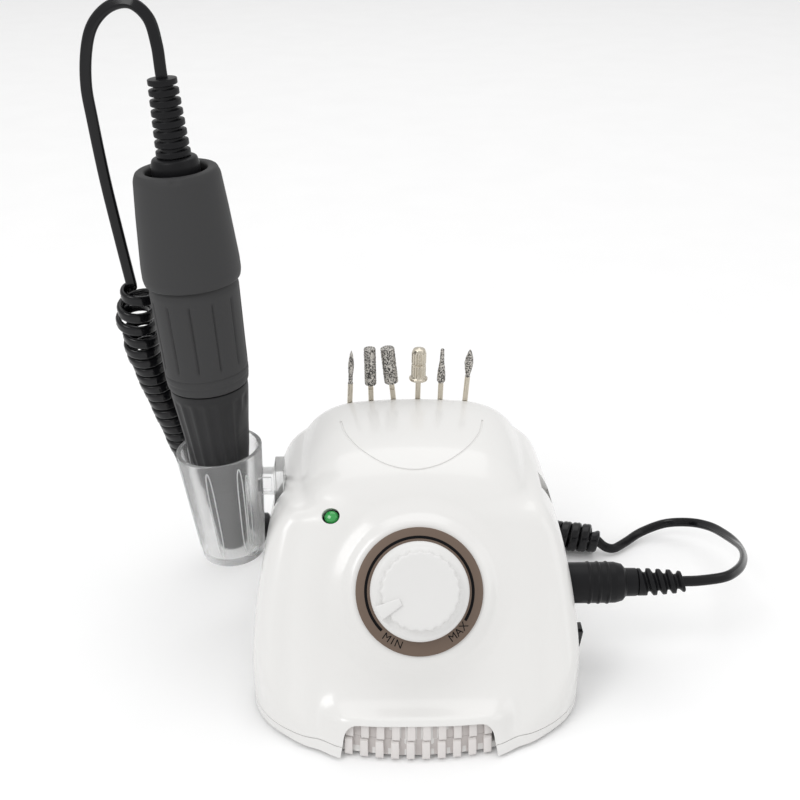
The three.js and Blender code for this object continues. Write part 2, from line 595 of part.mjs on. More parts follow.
function holderSolid() {
  const wallAt = (height) => (
    CUP_BASE_RADIUS + ((CUP_MOUTH_RADIUS - CUP_BASE_RADIUS) * height) / CUP_DEPTH
  );
  const shell = latheGeometry([
    [0, 0], [CUP_BASE_RADIUS - 0.8, 0], [wallAt(1), 1], [CUP_MOUTH_RADIUS, CUP_DEPTH],
    [CUP_MOUTH_RADIUS - CUP_WALL, CUP_DEPTH], [wallAt(3) - CUP_WALL, 3], [0, 3],
  ], 24);
  const solidCup = latheGeometry([
    [0, 1], [wallAt(1) - 0.6, 1], [wallAt(CUP_DEPTH) - 0.6, CUP_DEPTH], [0, CUP_DEPTH],
  ], 24);
  const arm = block([-80, -56.2], [CUP_ARM_Y - 3, CUP_ARM_Y + 3], [64, 74])
    .subtract(inBox(solidCup, cup));
  const tab = block([-56.8, -52.8], [CUP_ARM_Y - 6.3, CUP_ARM_Y + 6.3], [49, 78.5]);
  return union([inBox(shell, cup), arm, tab]);
}
piece(box, 'handpiece_holder', holderSolid(), CLEAR);

// ---- Handpiece ----------------------------------------------------------------------------------

function ringedBoot(from, to, baseRadius, tipRadius, rings) {
  const profile = [[0, from], [baseRadius, from]];
  const pitch = (to - from) / rings;
  for (let i = 0; i < rings; i += 1) {
    const radius = THREE.MathUtils.lerp(baseRadius, tipRadius, i / (rings - 1));
    const start = from + i * pitch;
    profile.push([radius, start + 0.62 * pitch], [radius - 1.5, start + 0.68 * pitch]);
    if (i + 1 < rings) {
      profile.push([radius - 1.5, start + 0.96 * pitch], [radius - 0.1, start + pitch]);
    }
  }
  return [...profile, [0, to - 0.3 * pitch]];
}

const handpieceShell = lathe([
  [7.6, NOSE_END + 0.6], [7.6, RING_END + 0.3], [15.4, RING_END + 0.3], [15.9, RING_END + 1.6],
  [16.4, 92], [17, 115.5], [16.7, 117.4], [15, 121.5], [13.2, 155], [9.3, 155], [9.3, 153],
  [11.5, 153], [11.5, 122], [13.4, 117], [13.4, 80], [5.8, 78], [5.8, NOSE_END + 0.6],
], 24);
piece(handpiece, 'handpiece_body', handpieceShell, CHARCOAL);
piece(handpiece, 'rear_cover', lathe([
  [17.2, COVER_START], [18, COVER_START], [18.5, 121.5], [18.4, 126], [15.7, 158.8], [14.9, COVER_END],
  [11.6, COVER_END], [11.2, 160.4], [11.2, 157.2], [14, 156.4], [15.9, 123.4],
], 24), CHARCOAL);
piece(handpiece, 'nose_sleeve', lathe([
  [4.7, 0], [5.4, 0], [5.9, 0.8], [6.9, 12], [8.6, 22], [9.4, NOSE_END], [4.7, NOSE_END],
], 20), STEEL);
piece(handpiece, 'chuck_lock_ring', lathe([
  [8, NOSE_END + 0.3], [10.1, NOSE_END + 0.3], [11.1, 38], [12.3, 46], [13.4, 57], [15.2, 72],
  [15.2, RING_END - 0.1], [8, RING_END - 0.1],
], 24), DARK_CHARCOAL);
piece(handpiece, 'cord_collar', lathe([
  [0, 150], [8.9, 150], [8.9, COLLAR_END - 3], [8.2, COLLAR_END - 0.6], [7, COLLAR_END],
  [0, COLLAR_END],
], 20), BLACK);
piece(handpiece, 'handpiece_boot', lathe(ringedBoot(COLLAR_END + GAP, BOOT_END, 6.2, 5.2, 7), 12), BLACK);
piece(handpiece, 'motor_magnet', tube(9.3, 13, 82, 112, 20), IRON);
piece(handpiece, 'front_bearing', tube(3.4, 5.5, 42, 47, 14), STEEL);
piece(handpiece, 'brush_holder', tube(6.9, 11.2, 128, 140, 20), BLACK);
piece(handpiece, 'rear_bearing', tube(3.4, 6.6, 132, 137, 14), STEEL);
[['left', -1], ['right', 1]].forEach(([side, sign]) => {
  piece(handpiece, `brush_${side}`, block(across(sign, 5.1, 10.6), [-2, 2], [120, 124]), IRON);
});
piece(handpiece, 'spindle', lathe([
  [2.9, 1.4], [4.2, 1.4], [4.2, 30], [3, 32], [3, 139], [0, 139], [0, 19], [2.9, 19],
], 14), STEEL);
piece(handpiece, 'collet', tube(1.3, 2.6, 1, 17, 14), STEEL);
piece(handpiece, 'armature', tube(3.3, 8.9, 84, 110, 20), COPPER);
piece(handpiece, 'commutator', tube(3.3, 4.8, 117.5, 127, 14), COPPER);

// ---- Plug ---------------------------------------------------------------------------------------

const plugBarrel = lathe([
  [0, -14.6], [1.6, -14.6], [2.8, -12.6], [2.8, 0], [PLUG_BARREL_RADIUS - 0.5, 0],
  [PLUG_BARREL_RADIUS, 0.6], [PLUG_BARREL_RADIUS, 19.6], [7.4, 22.6], [5.9, 23.4], [5.9, 28.8], [0, 28.8],
], 20);
piece(plug, 'plug_barrel', plugBarrel, BLACK);
piece(plug, 'plug_boot', lathe(ringedBoot(28.8 + GAP, 48.3, 5.6, 4.4, 4), 12), BLACK);

// ---- Cords --------------------------------------------------------------------------------------

piece(box, 'cord_loop', cordSolid(LOOP_ROUTE, CABLE_RADIUS, 8, 26), BLACK);
piece(box, 'curly_cord', cordSolid(CURL_ROUTE, CURL_RADIUS, 8, 30), BLACK);
piece(box, 'cord_tail', cordSolid(TAIL_ROUTE, CABLE_RADIUS, 8, 24), BLACK);

// ---- The whole object ---------------------------------------------------------------------------

const drill = new THREE.Group();
drill.add(box, dial, led, cup, handpiece, plug, ...bitFrames);
drill.add(powerSwitch, directionSwitch, pedalSocket, fuse, mainsInlet);
drill.updateMatrixWorld(true);

const CORD_PIECES = ['cord_loop', 'curly_cord', 'cord_tail', 'plug_barrel', 'plug_boot'];
const extent = new THREE.Box3();
drill.traverse((node) => {
  if (node.isMesh && !CORD_PIECES.includes(node.name)) extent.expandByObject(node, true);
});
const middle = extent.getCenter(new THREE.Vector3());
drill.position.set(-middle.x, -middle.y, -extent.min.z);
drill.updateMatrixWorld(true);

export default drill;
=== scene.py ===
# Looks for a desk-top electric nail drill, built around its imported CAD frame. Shapes are worked out
# in millimetres in the control box's own frame (X = 0 its middle, Y = 0 its front foot line, Z = 0
# the table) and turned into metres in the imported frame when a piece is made.
import json
import math

import bmesh
import bpy
import numpy as np
from mathutils import Matrix, Vector


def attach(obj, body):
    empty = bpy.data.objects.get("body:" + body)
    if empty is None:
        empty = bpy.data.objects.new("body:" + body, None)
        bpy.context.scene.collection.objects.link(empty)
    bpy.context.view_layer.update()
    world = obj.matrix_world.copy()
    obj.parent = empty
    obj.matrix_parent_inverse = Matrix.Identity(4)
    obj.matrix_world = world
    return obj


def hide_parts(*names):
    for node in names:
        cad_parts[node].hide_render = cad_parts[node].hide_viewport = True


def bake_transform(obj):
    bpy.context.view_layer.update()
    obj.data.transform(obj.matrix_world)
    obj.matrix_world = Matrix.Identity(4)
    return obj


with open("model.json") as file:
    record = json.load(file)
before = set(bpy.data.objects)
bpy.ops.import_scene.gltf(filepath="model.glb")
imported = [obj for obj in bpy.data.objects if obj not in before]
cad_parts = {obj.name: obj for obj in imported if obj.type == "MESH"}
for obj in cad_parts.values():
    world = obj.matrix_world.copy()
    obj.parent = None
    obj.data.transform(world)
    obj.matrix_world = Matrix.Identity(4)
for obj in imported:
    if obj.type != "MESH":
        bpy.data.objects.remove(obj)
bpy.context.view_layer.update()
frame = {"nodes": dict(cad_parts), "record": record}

TAU = 2 * math.pi
SHIFT = np.array([17.296, -70.252, 0.0])  # from the control box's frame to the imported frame

# ---- Measures, in millimetres -------------------------------------------------------------------

WALL = 2.4
BOX_HALF_WIDTH = 64
BOX_DEPTH = 137
HOOD_HALF_WIDTH = 49.6
TOP_HEIGHT = 88
TOP_CREST_Y = 105
WING_TOP = 68.3
FRONT_BOW = 23
SHELF_HEIGHT = 13.8
SHELF_HALF_WIDTH = 33
FRONT_LEAN = 0.5
PARTING_HEIGHT = 5
TRAY_BOTTOM = 1.5
TRAY_FLOOR = 3.5
GAP = 0.3
SIGHT_POINT = np.array([0.0, 72.0, 5.0])  # inside point from which the outer skin is drawn
SCREW_PLACES = [(-44, 26), (44, 26), (-47, 121), (47, 121)]

DIAL = np.array([1, 37.4, 49.1])
DIAL_TILT = math.radians(54)
DIAL_NORMAL = np.array([0, -math.sin(DIAL_TILT), math.cos(DIAL_TILT)])
DIAL_UP = np.array([0, math.cos(DIAL_TILT), math.sin(DIAL_TILT)])
DIAL_RADIUS = 24.4
PANEL_SETBACK = 4.6
BOSS_SETBACK = 1.3
BOSS_RADIUS = 30.5
SKIRT_RADIUS = 37  # the panel swells a little from here to the boss
KNOB_RADIUS = 18.9
KNOB_HEIGHT = 12
KNOB_REST_ANGLE = math.radians(207)

RIB_COUNT = 10
RIB_PITCH = 5.75
RIB_WIDTH = 3
GRILLE_SPLIT = 6.9
ARCH_HALF_WIDTH = 28.2
ARCH_HEIGHT = 12.3
ARCH_BACK = 0.9
GRILLE_BOW = 0.0048  # the grille is curved: it lies this times x squared further back

BIT_ROW_Y = 129
BIT_SEAT_HEIGHT = 69
SHANK = 1.175
BITS = {  # place along the row, lean to the right in degrees
    "needle_bit": (-27.2, 2.7),
    "long_barrel_bit": (-16.9, -0.9),
    "wide_barrel_bit": (-5.6, -6.1),
    "sanding_mandrel": (2.9, 1.2),
    "cone_bit": (12.6, 1.7),
    "flame_bit": (22.9, 4.1),
}

CUP_MOUTH = np.array([-78.7, 87.7, 85])
AXIS_LEAN = math.radians(3.75)
LEAN_AXIS = np.array([-math.sin(AXIS_LEAN), 0, math.cos(AXIS_LEAN)])
CUP_DEPTH = 50
CUP_MOUTH_RADIUS = 17.3
CUP_BASE_RADIUS = 12.9
CUP_WALL = 1.8
TIP_IN_CUP = 4
CUP_ARM_Y = 87.7

NOSE_END = 30
RING_END = 75.3
COVER_START = 118.8
COVER_END = 161
COLLAR_END = 165.5
BOOT_END = 194.5

CABLE_WIDTH = 4.3
CABLE_THICKNESS = 2.5
COIL_RADIUS = 5.7  # from the coil's axis to the middle of the cable
COIL_PITCH = 4.6
COIL_LOOSE_REACH = 26  # the turns hang loose over about this length at the top
BOOT_INSIDE = [-87.6, 87.7, 221]
LOOP_ROUTE = [
    [-88.5, 87.8, 234.1], [-89.1, 88, 243], [-91.3, 88.7, 251.6], [-97.2, 90.1, 256.4],
    [-104.9, 92.1, 254.9], [-111.4, 93.4, 248.9], [-114.9, 94.4, 240.1], [-116.7, 95.5, 227.9],
    [-116.2, 96.5, 215.3], [-114.6, 98.4, 192.6], [-112.1, 100.4, 168.7], [-110, 102.5, 149],
]
CURL_ROUTE = [
    [-110, 102.5, 149], [-109.5, 103.7, 139], [-109.2, 107.3, 121.9], [-106.3, 112.3, 103.8],
    [-102, 117.2, 84.8], [-97.8, 122.6, 65.5], [-92.6, 130, 42], [-84.5, 138.6, 20.5],
    [-71, 145.8, 9.6], [-50, 148.6, 7.9], [-20, 149, 7.9], [20, 148.8, 7.9], [48, 147, 7.9],
    [62, 142.4, 7.9], [73, 137.6, 7.9], [88.5, 134.8, 7.6],
]
TAIL_ROUTE = [
    [88.5, 134.8, 7.6], [92, 133.4, 4.6], [95, 132.8, 3.4], [98, 133.4, 3.2], [104, 138.2, 3.4],
    [112.5, 144.6, 4.6], [124, 146.6, 8], [134.3, 141.2, 12], [140.8, 131, 16.2],
    [143.7, 116.4, 21], [144.2, 100.7, 26], [142.1, 87, 30.4], [137.4, 74.4, 34],
    [131.4, 65.2, 36.6], [124.9, 59.6, 38], [115, 57.3, 38.2], [107.6, 57.2, 38],
]

PLUG = np.array([60.2, 57.2, 38])
PLUG_BARREL_RADIUS = 8.4
POWER_SWITCH = np.array([63.8, 52, 14.2])
DIRECTION_SWITCH = np.array([-14, 137, 30])
PEDAL_SOCKET = np.array([-38, 137, 30])
FUSE = np.array([8, 137, 30])
MAINS_INLET = np.array([31, 137, 32])
LED = np.array([-33, 58.6, 70])
LED_HOLE_RADIUS = 3


def frame_at(place, x_turn=0.0, y_turn=0.0, z_turn=0.0):
    """The frame at a place, turned about X, then its own Y, then its own Z."""
    turns = [Matrix.Rotation(turn, 4, axis) for turn, axis in
             zip((x_turn, y_turn, z_turn), "XYZ")]
    return Matrix.Translation(place) @ turns[0] @ turns[1] @ turns[2]


DIAL_FRAME = frame_at(DIAL, DIAL_TILT)
LED_FRAME = frame_at(LED, DIAL_TILT * 0.75, -0.15)
CUP_FRAME = frame_at(CUP_MOUTH - CUP_DEPTH * LEAN_AXIS, 0, -AXIS_LEAN)
HANDPIECE_FRAME = frame_at(CUP_MOUTH - (CUP_DEPTH - TIP_IN_CUP) * LEAN_AXIS, 0, -AXIS_LEAN)
PLUG_FRAME = frame_at(PLUG, 0, math.pi / 2)
POWER_FRAME = frame_at(POWER_SWITCH, math.pi / 2, math.pi / 2)
DIRECTION_FRAME = frame_at(DIRECTION_SWITCH, -math.pi / 2, 0, math.pi)


def metres(points):
    return (np.asarray(points, float) + SHIFT) / 1000


def bit_frame(name):
    x, lean = BITS[name]
    return frame_at((x, BIT_ROW_Y, BIT_SEAT_HEIGHT), 0, math.radians(lean))


# ---- Camera, light and floor --------------------------------------------------------------------


def set_the_stage():
    camera = bpy.data.cameras.new("camera")
    camera.lens = 51.75
    camera.sensor_width = 36
    holder = bpy.data.objects.new("camera", camera)
    holder.location = metres([-13.95, -322.25, 310])
    holder.rotation_euler = (math.radians(63.5), 0, math.radians(-1.2))
    bpy.context.collection.objects.link(holder)
    bpy.context.scene.camera = holder

    world = bpy.data.worlds.new("studio")
    world.use_nodes = True
    background = world.node_tree.nodes["Background"]
    background.inputs["Color"].default_value = (1, 1, 1, 1)
    background.inputs["Strength"].default_value = 0.77
    bpy.context.scene.world = world
    bpy.context.scene.view_settings.view_transform = "Standard"

    lamps = [
        ("key_light", (-0.5, -0.45, 0.8), 0.4, 2.0),
        ("fill_light", (0.75, -0.3, 0.55), 0.5, 0.5),
        ("top_light", (0, 0.8, 2.2), 2.0, 13.0),
    ]
    for name, place, size, power in lamps:
        lamp = bpy.data.lights.new(name, "AREA")
        lamp.size = size
        lamp.energy = power
        stand = bpy.data.objects.new(name, lamp)
        stand.location = place
        aim = Vector((0, 0, 0.06)) - Vector(place)
        stand.rotation_euler = aim.to_track_quat("-Z", "Y").to_euler()
        bpy.context.collection.objects.link(stand)

    mesh = bpy.data.meshes.new("floor")
    reach = 4.0
    mesh.from_pydata([(-reach, -reach, 0), (reach, -reach, 0), (reach, reach, 0),
                      (-reach, reach, 0)], [], [(0, 1, 2, 3)])
    floor = bpy.data.objects.new("floor", mesh)
    mesh.materials.append(finish("floor_white", (0.97, 0.97, 0.97), 0.6, grain=40, depth=0))
    bpy.context.collection.objects.link(floor)


# ---- Finishes -----------------------------------------------------------------------------------


def finish(name, color, roughness, metallic=0.0, grain=900, depth=0.02, mottle=0.04,
           cloud=0.02, speckle=False, **sockets):
    """A procedural finish: fine grain in the relief (depth in mm), roughness that varies a little
    with it, and a faint cloudiness in the colour, or speckles of two tones. Other sockets are
    set by name."""
    material = bpy.data.materials.new(name)
    material.use_nodes = True
    nodes = material.node_tree.nodes
    link = material.node_tree.links.new
    shader = nodes["Principled BSDF"]
    shader.inputs["Metallic"].default_value = metallic
    for socket, value in sockets.items():
        shader.inputs[socket.replace("_", " ")].default_value = value

    place = nodes.new("ShaderNodeTexCoord").outputs["Object"]
    fine = nodes.new("ShaderNodeTexNoise")
    fine.inputs["Scale"].default_value = grain
    fine.inputs["Detail"].default_value = 3
    link(place, fine.inputs["Vector"])

    spread = nodes.new("ShaderNodeMapRange")
    spread.inputs["To Min"].default_value = max(roughness - mottle, 0.02)
    spread.inputs["To Max"].default_value = min(roughness + mottle, 1)
    link(fine.outputs["Fac"], spread.inputs["Value"])
    link(spread.outputs["Result"], shader.inputs["Roughness"])

    broad = nodes.new("ShaderNodeTexNoise")
    broad.inputs["Scale"].default_value = 18
    link(place, broad.inputs["Vector"])
    tint = nodes.new("ShaderNodeMix")
    tint.data_type = "RGBA"
    tint.inputs[6].default_value = (*[c * (1 - cloud) for c in color], 1)
    tint.inputs[7].default_value = (*[min(c * (1 + cloud), 1) for c in color], 1)
    if speckle:
        sharpen = nodes.new("ShaderNodeMapRange")
        sharpen.inputs["From Min"].default_value = 0.42
        sharpen.inputs["From Max"].default_value = 0.58
        link(fine.outputs["Fac"], sharpen.inputs["Value"])
        link(sharpen.outputs["Result"], tint.inputs[0])
    else:
        link(broad.outputs["Fac"], tint.inputs[0])
    link(tint.outputs[2], shader.inputs["Base Color"])

    if depth:
        relief = nodes.new("ShaderNodeBump")
        relief.inputs["Strength"].default_value = 1
        relief.inputs["Distance"].default_value = depth / 1000
        link(fine.outputs["Fac"], relief.inputs["Height"])
        link(relief.outputs["Normal"], shader.inputs["Normal"])
    return material


set_the_stage()
LOOK = {
    "housing_white": finish("housing_white", (0.8, 0.793, 0.778), 0.2, grain=300, depth=0.004,
                            cloud=0.006, Coat_Weight=0.3, Coat_Roughness=0.08),
    # Painted shade: the grille ribs are coloured a darker, warmer grey than the housing white, for
    # the shade they sit in under the shelf.
    "grille_white": finish("grille_white", (0.72, 0.69, 0.675), 0.38, grain=1500, depth=0.006),
    "dial_bronze": finish("dial_bronze", (0.175, 0.127, 0.098), 0.36, 0.5, grain=2500,
                          depth=0.004, cloud=0.05),
    "led_green": finish("led_green", (0.015, 0.36, 0.06), 0.12, grain=500, depth=0.01,
                        Transmission_Weight=0.1, Coat_Weight=1.0),
    "black_gloss": finish("black_gloss", (0.01, 0.01, 0.011), 0.14, grain=700, depth=0.004),
    "black_satin": finish("black_satin", (0.008, 0.008, 0.009), 0.4, grain=1400, depth=0.02,
                          Specular_IOR_Level=0.17),
    "cord_black": finish("cord_black", (0.005, 0.005, 0.006), 0.18, grain=500, depth=0.01,
                         Specular_IOR_Level=0.3),
    "cup_clear": finish("cup_clear", (0.97, 0.972, 0.972), 0.22, grain=700, depth=0,
                        mottle=0.03, Transmission_Weight=0.9, IOR=1.2),
    "handpiece_charcoal": finish("handpiece_charcoal", (0.042, 0.042, 0.043), 0.6, grain=2600,
                                 depth=0.012, cloud=0.05, Specular_IOR_Level=0.25),
    "steel": finish("steel", (0.62, 0.57, 0.48), 0.22, 1.0, grain=1200, depth=0.01),
    "grit": finish("grit", (0.36, 0.345, 0.32), 0.4, 0.5, grain=1500, depth=0.1, mottle=0.2,
                   cloud=0.88, speckle=True),
    "copper": finish("copper", (0.5, 0.22, 0.1), 0.35, 0.9, grain=600),
    "iron": finish("iron", (0.14, 0.14, 0.15), 0.6, 0.5, grain=900),
    "board_green": finish("board_green", (0.02, 0.15, 0.06), 0.45, grain=700),
    "aluminium_fin": finish("aluminium_fin", (0.62, 0.63, 0.64), 0.35, 1.0, grain=500),
    "foot_rubber": finish("foot_rubber", (0.02, 0.02, 0.02), 0.85, grain=1100, depth=0.05),
}
# Painted shade: the wall at the back of the grille recess is coloured a darker warm grey, for the
# shade inside the recess.
RECESS_PAINTED_SHADE = finish("recess_painted_shade", (0.6, 0.565, 0.55), 0.5, grain=1500, depth=0.006)
PRINT_BLACK = finish("print_black", (0.004, 0.004, 0.005), 0.5, grain=900, depth=0,
                     Specular_IOR_Level=0.1)
KNOB_WHITE = finish("knob_white", (0.76, 0.755, 0.745), 0.35, grain=700, depth=0.006, cloud=0.008)
RING_GREY = finish("ring_grey", (0.016, 0.016, 0.017), 0.5, grain=2200, depth=0.015,
                   Specular_IOR_Level=0.3)
CUP_RIM = finish("cup_rim", (0.9, 0.91, 0.91), 0.3, grain=700, depth=0.01,
                 Transmission_Weight=0.5, IOR=1.4)

# ---- Shapes: a shape is its points (mm) and its faces --------------------------------------------


def smooth_step(value, high):
    t = np.clip(value / high, 0, 1)
    return t * t * (3 - 2 * t)


def clean(shape):
    """The shape with double points merged and its faces turned outwards."""
    points, faces = shape
    mesh = bmesh.new()
    corners = [mesh.verts.new(point) for point in points]
    for face in faces:
        mesh.faces.new([corners[index] for index in face])
    bmesh.ops.remove_doubles(mesh, verts=mesh.verts, dist=1e-4)
    bmesh.ops.recalc_face_normals(mesh, faces=mesh.faces)
    mesh.verts.index_update()
    merged = np.array([vert.co[:] for vert in mesh.verts])
    kept = [[vert.index for vert in face.verts] for face in mesh.faces]
    mesh.free()
    return merged, kept


def placed(shape, frame_matrix):
    points, faces = shape
    turned = np.array(frame_matrix)
    return points @ turned[:3, :3].T + turned[:3, 3], faces


def joined(*shapes):
    points, faces, count = [], [], 0
    for some_points, some_faces in shapes:
        points.append(some_points)
        faces += [[index + count for index in face] for face in some_faces]
        count += len(some_points)
    return np.vstack(points), faces


def grid_faces(rows, columns, closed):
    """Quads between rows of points. closed joins each row's end to its start."""
    span = columns if closed else columns - 1
    return [[row * columns + column, row * columns + (column + 1) % columns,
             (row + 1) * columns + (column + 1) % columns, (row + 1) * columns + column]
            for row in range(rows - 1) for column in range(span)]


def soften(profile, reach, steps=3):
    """An open profile with its corners rounded over, starting `reach` before each."""
    points = [Vector(point) for point in profile]
    rounded = [points[0]]
    for before, corner, after in zip(points, points[1:], points[2:]):
        lead = min(reach, (corner - before).length * 0.45)
        tail = min(reach, (after - corner).length * 0.45)
        start = corner + (before - corner).normalized() * lead
        end = corner + (after - corner).normalized() * tail
        for step in range(steps + 1):
            t = step / steps
            rounded.append(start * (1 - t) ** 2 + corner * 2 * t * (1 - t) + end * t * t)
    rounded.append(points[-1])
    return [point[:] for point in rounded]


def densify(profile, step):
    """The profile with extra points, so that none of its segments is longer than `step`."""
    dense = [profile[0]]
    for (r0, h0), (r1, h1) in zip(profile, profile[1:]):
        parts = max(1, math.ceil(math.hypot(r1 - r0, h1 - h0) / step))
        dense += [(r0 + (r1 - r0) * k / parts, h0 + (h1 - h0) * k / parts)
                  for k in range(1, parts + 1)]
    return dense


def lathe(profile, segments=72, reshape=None):
    """A profile of (radius, height) turned about Z, from axis to axis or closed on itself.
    reshape(angle, height, radius) gives each point's own radius."""
    profile = np.array(profile, float)
    if profile[0, 0] > 0:
        profile = np.vstack([profile, profile[:1]])
    angle, radius = np.meshgrid(np.arange(segments) * TAU / segments, profile[:, 0])
    height = np.repeat(profile[:, 1:], segments, axis=1)
    if reshape:
        radius = np.where(radius > 0, reshape(angle, height, radius), 0)
    points = np.stack([radius * np.cos(angle), radius * np.sin(angle), height], axis=-1)
    return clean((points.reshape(-1, 3), grid_faces(len(profile), segments, True)))


def rod(radius, start, end, segments=32, edge=0.0):
    profile = [(0, start), (radius, start), (radius, end), (0, end)]
    return lathe(soften(profile, edge) if edge else profile, segments)


def block(x, y, z, edge=0.0):
    """A box between two x, two y and two z values, with rounded edges."""
    mesh = bmesh.new()
    bmesh.ops.create_cube(mesh, size=1)
    size = [high - low for low, high in (x, y, z)]
    middle = [(high + low) / 2 for low, high in (x, y, z)]
    bmesh.ops.transform(mesh, verts=mesh.verts,
                        matrix=Matrix.Translation(middle) @ Matrix.Diagonal((*size, 1)))
    if edge:
        bmesh.ops.bevel(mesh, geom=mesh.edges[:], offset=edge, segments=3, profile=0.6,
                        affect="EDGES")
    mesh.verts.index_update()
    shape = (np.array([vert.co[:] for vert in mesh.verts]),
             [[vert.index for vert in face.verts] for face in mesh.faces])
    mesh.free()
    return shape


def across(sign, near, far):
    return tuple(sorted((sign * near, sign * far)))


def prism(outline, start, end):
    """A flat outline in X and Z, run along Y."""
    count = len(outline)
    points = [(x, y, z) for y in (start, end) for x, z in outline]
    faces = grid_faces(2, count, True)
    faces += [list(range(count))[::-1], list(range(count, 2 * count))]
    return clean((np.array(points, float), faces))


def extruded(outline, start, end):
    """A flat outline in X and Y, raised along Z."""
    return placed(prism([(x, -y) for x, y in outline], start, end),
                  Matrix.Rotation(math.pi / 2, 4, "X"))


def bevelled(shape, width, segments=3, least=0.5):
    """The shape with its sharp edges rounded over."""
    mesh = bmesh.new()
    corners = [mesh.verts.new(point) for point in shape[0]]
    for face in shape[1]:
        mesh.faces.new([corners[index] for index in face])
    bmesh.ops.recalc_face_normals(mesh, faces=mesh.faces)
    edges = [edge for edge in mesh.edges if edge.calc_face_angle(0) > least]
    bmesh.ops.bevel(mesh, geom=edges, offset=width, segments=segments, profile=0.5,
                    affect="EDGES")
    mesh.verts.index_update()
    result = (np.array([vert.co[:] for vert in mesh.verts]),
              [[vert.index for vert in face.verts] for face in mesh.faces])
    mesh.free()
    return result


def directions(path):
    tangent = np.gradient(path, axis=0)
    return tangent / np.linalg.norm(tangent, axis=1, keepdims=True)


def sweep(path, section, wide):
    """A section of (across, up) points carried along a path. wide holds the across directions."""
    tangent = directions(path)
    wide = wide - np.sum(wide * tangent, axis=1, keepdims=True) * tangent
    wide /= np.linalg.norm(wide, axis=1, keepdims=True)
    high = np.cross(tangent, wide)
    section = np.array(section)
    points = (path[:, None] + section[None, :, :1] * wide[:, None]
              + section[None, :, 1:] * high[:, None]).reshape(-1, 3)
    count = len(section)
    faces = grid_faces(len(path), count, True)
    faces += [list(range(count))[::-1], list(range(len(points) - count, len(points)))]
    return points, faces


def circle(radius, count=12):
    return [(radius * math.cos(TAU * k / count), radius * math.sin(TAU * k / count))
            for k in range(count)]


def smooth_path(route, step):
    """A Catmull-Rom curve through the route's points, sampled evenly."""
    route = np.array(route, float)
    ends = np.vstack([2 * route[0] - route[1], route, 2 * route[-1] - route[-2]])
    t = np.linspace(0, 1, 24, endpoint=False)[:, None]
    pieces = []
    for p0, p1, p2, p3 in zip(ends, ends[1:], ends[2:], ends[3:]):
        pieces.append(0.5 * (2 * p1 + (p2 - p0) * t + (2 * p0 - 5 * p1 + 4 * p2 - p3) * t**2
                             + (3 * p1 - p0 - 3 * p2 + p3) * t**3))
    fine = np.vstack(pieces + [route[-1:]])
    along = np.concatenate([[0], np.cumsum(np.linalg.norm(np.diff(fine, axis=0), axis=1))])
    stops = np.linspace(0, along[-1], max(2, round(along[-1] / step)))
    return np.stack([np.interp(stops, along, fine[:, axis]) for axis in range(3)], axis=1)


def scratch_object(shape):
    mesh = bpy.data.meshes.new("scratch")
    mesh.from_pydata(shape[0].tolist(), [], shape[1])
    holder = bpy.data.objects.new("scratch", mesh)
    bpy.context.collection.objects.link(holder)
    return holder


def boolean(operation, body, *tools):
    """The body with tools cut out of it (DIFFERENCE), joined on (UNION) or shared (INTERSECT)."""
    holders = [scratch_object(shape) for shape in (body, *tools)]
    for tool in holders[1:]:
        step = holders[0].modifiers.new("step", "BOOLEAN")
        step.operation = operation
        step.solver = "MANIFOLD"
        step.object = tool
    bpy.context.view_layer.update()
    result = holders[0].evaluated_get(bpy.context.evaluated_depsgraph_get()).to_mesh()
    points = np.empty(len(result.vertices) * 3)
    result.vertices.foreach_get("co", points)
    shape = points.reshape(-1, 3), [list(face.vertices) for face in result.polygons]
    holders[0].to_mesh_clear()
    for holder in holders:
        mesh = holder.data
        bpy.data.objects.remove(holder)
        bpy.data.meshes.remove(mesh)
    return shape


def make(name, body, parts, sharp=32, nodes=None):
    """One piece from [(shape in the box's frame, material), ...]. It rides on a body and stands
    for the CAD nodes, which are the node of its own name unless others are given."""
    shape = joined(*[part for part, _ in parts])
    mesh = bpy.data.meshes.new(name)
    mesh.from_pydata(metres(shape[0]).tolist(), [], shape[1])
    for _, material in parts:
        mesh.materials.append(material)
    index = np.repeat(np.arange(len(parts)), [len(part[1]) for part, _ in parts])
    mesh.polygons.foreach_set("material_index", index.astype(np.int32))
    mesh.shade_smooth()
    mesh.set_sharp_from_angle(angle=math.radians(sharp))
    piece = bpy.data.objects.new(f"{name}_look", mesh)
    bpy.context.collection.objects.link(piece)
    if body:
        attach(piece, body)
    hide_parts(*(nodes or [name]))
    return piece


# ---- Cords: a flat twin cable, curled from the end of the loop to where the tail begins ----------


def twin_section(width, thickness, count=16):
    """Two cores side by side under one skin, as (across, up) points."""
    section = []
    for k in range(count):
        angle = TAU * k / count
        across = math.cos(angle) * width / 2
        waist = 0.22 * math.exp(-((across / (0.13 * width)) ** 2))
        up = math.copysign(abs(math.sin(angle)) ** 0.75, math.sin(angle))
        section.append((across, up * thickness / 2 * (1 - waist)))
    return section


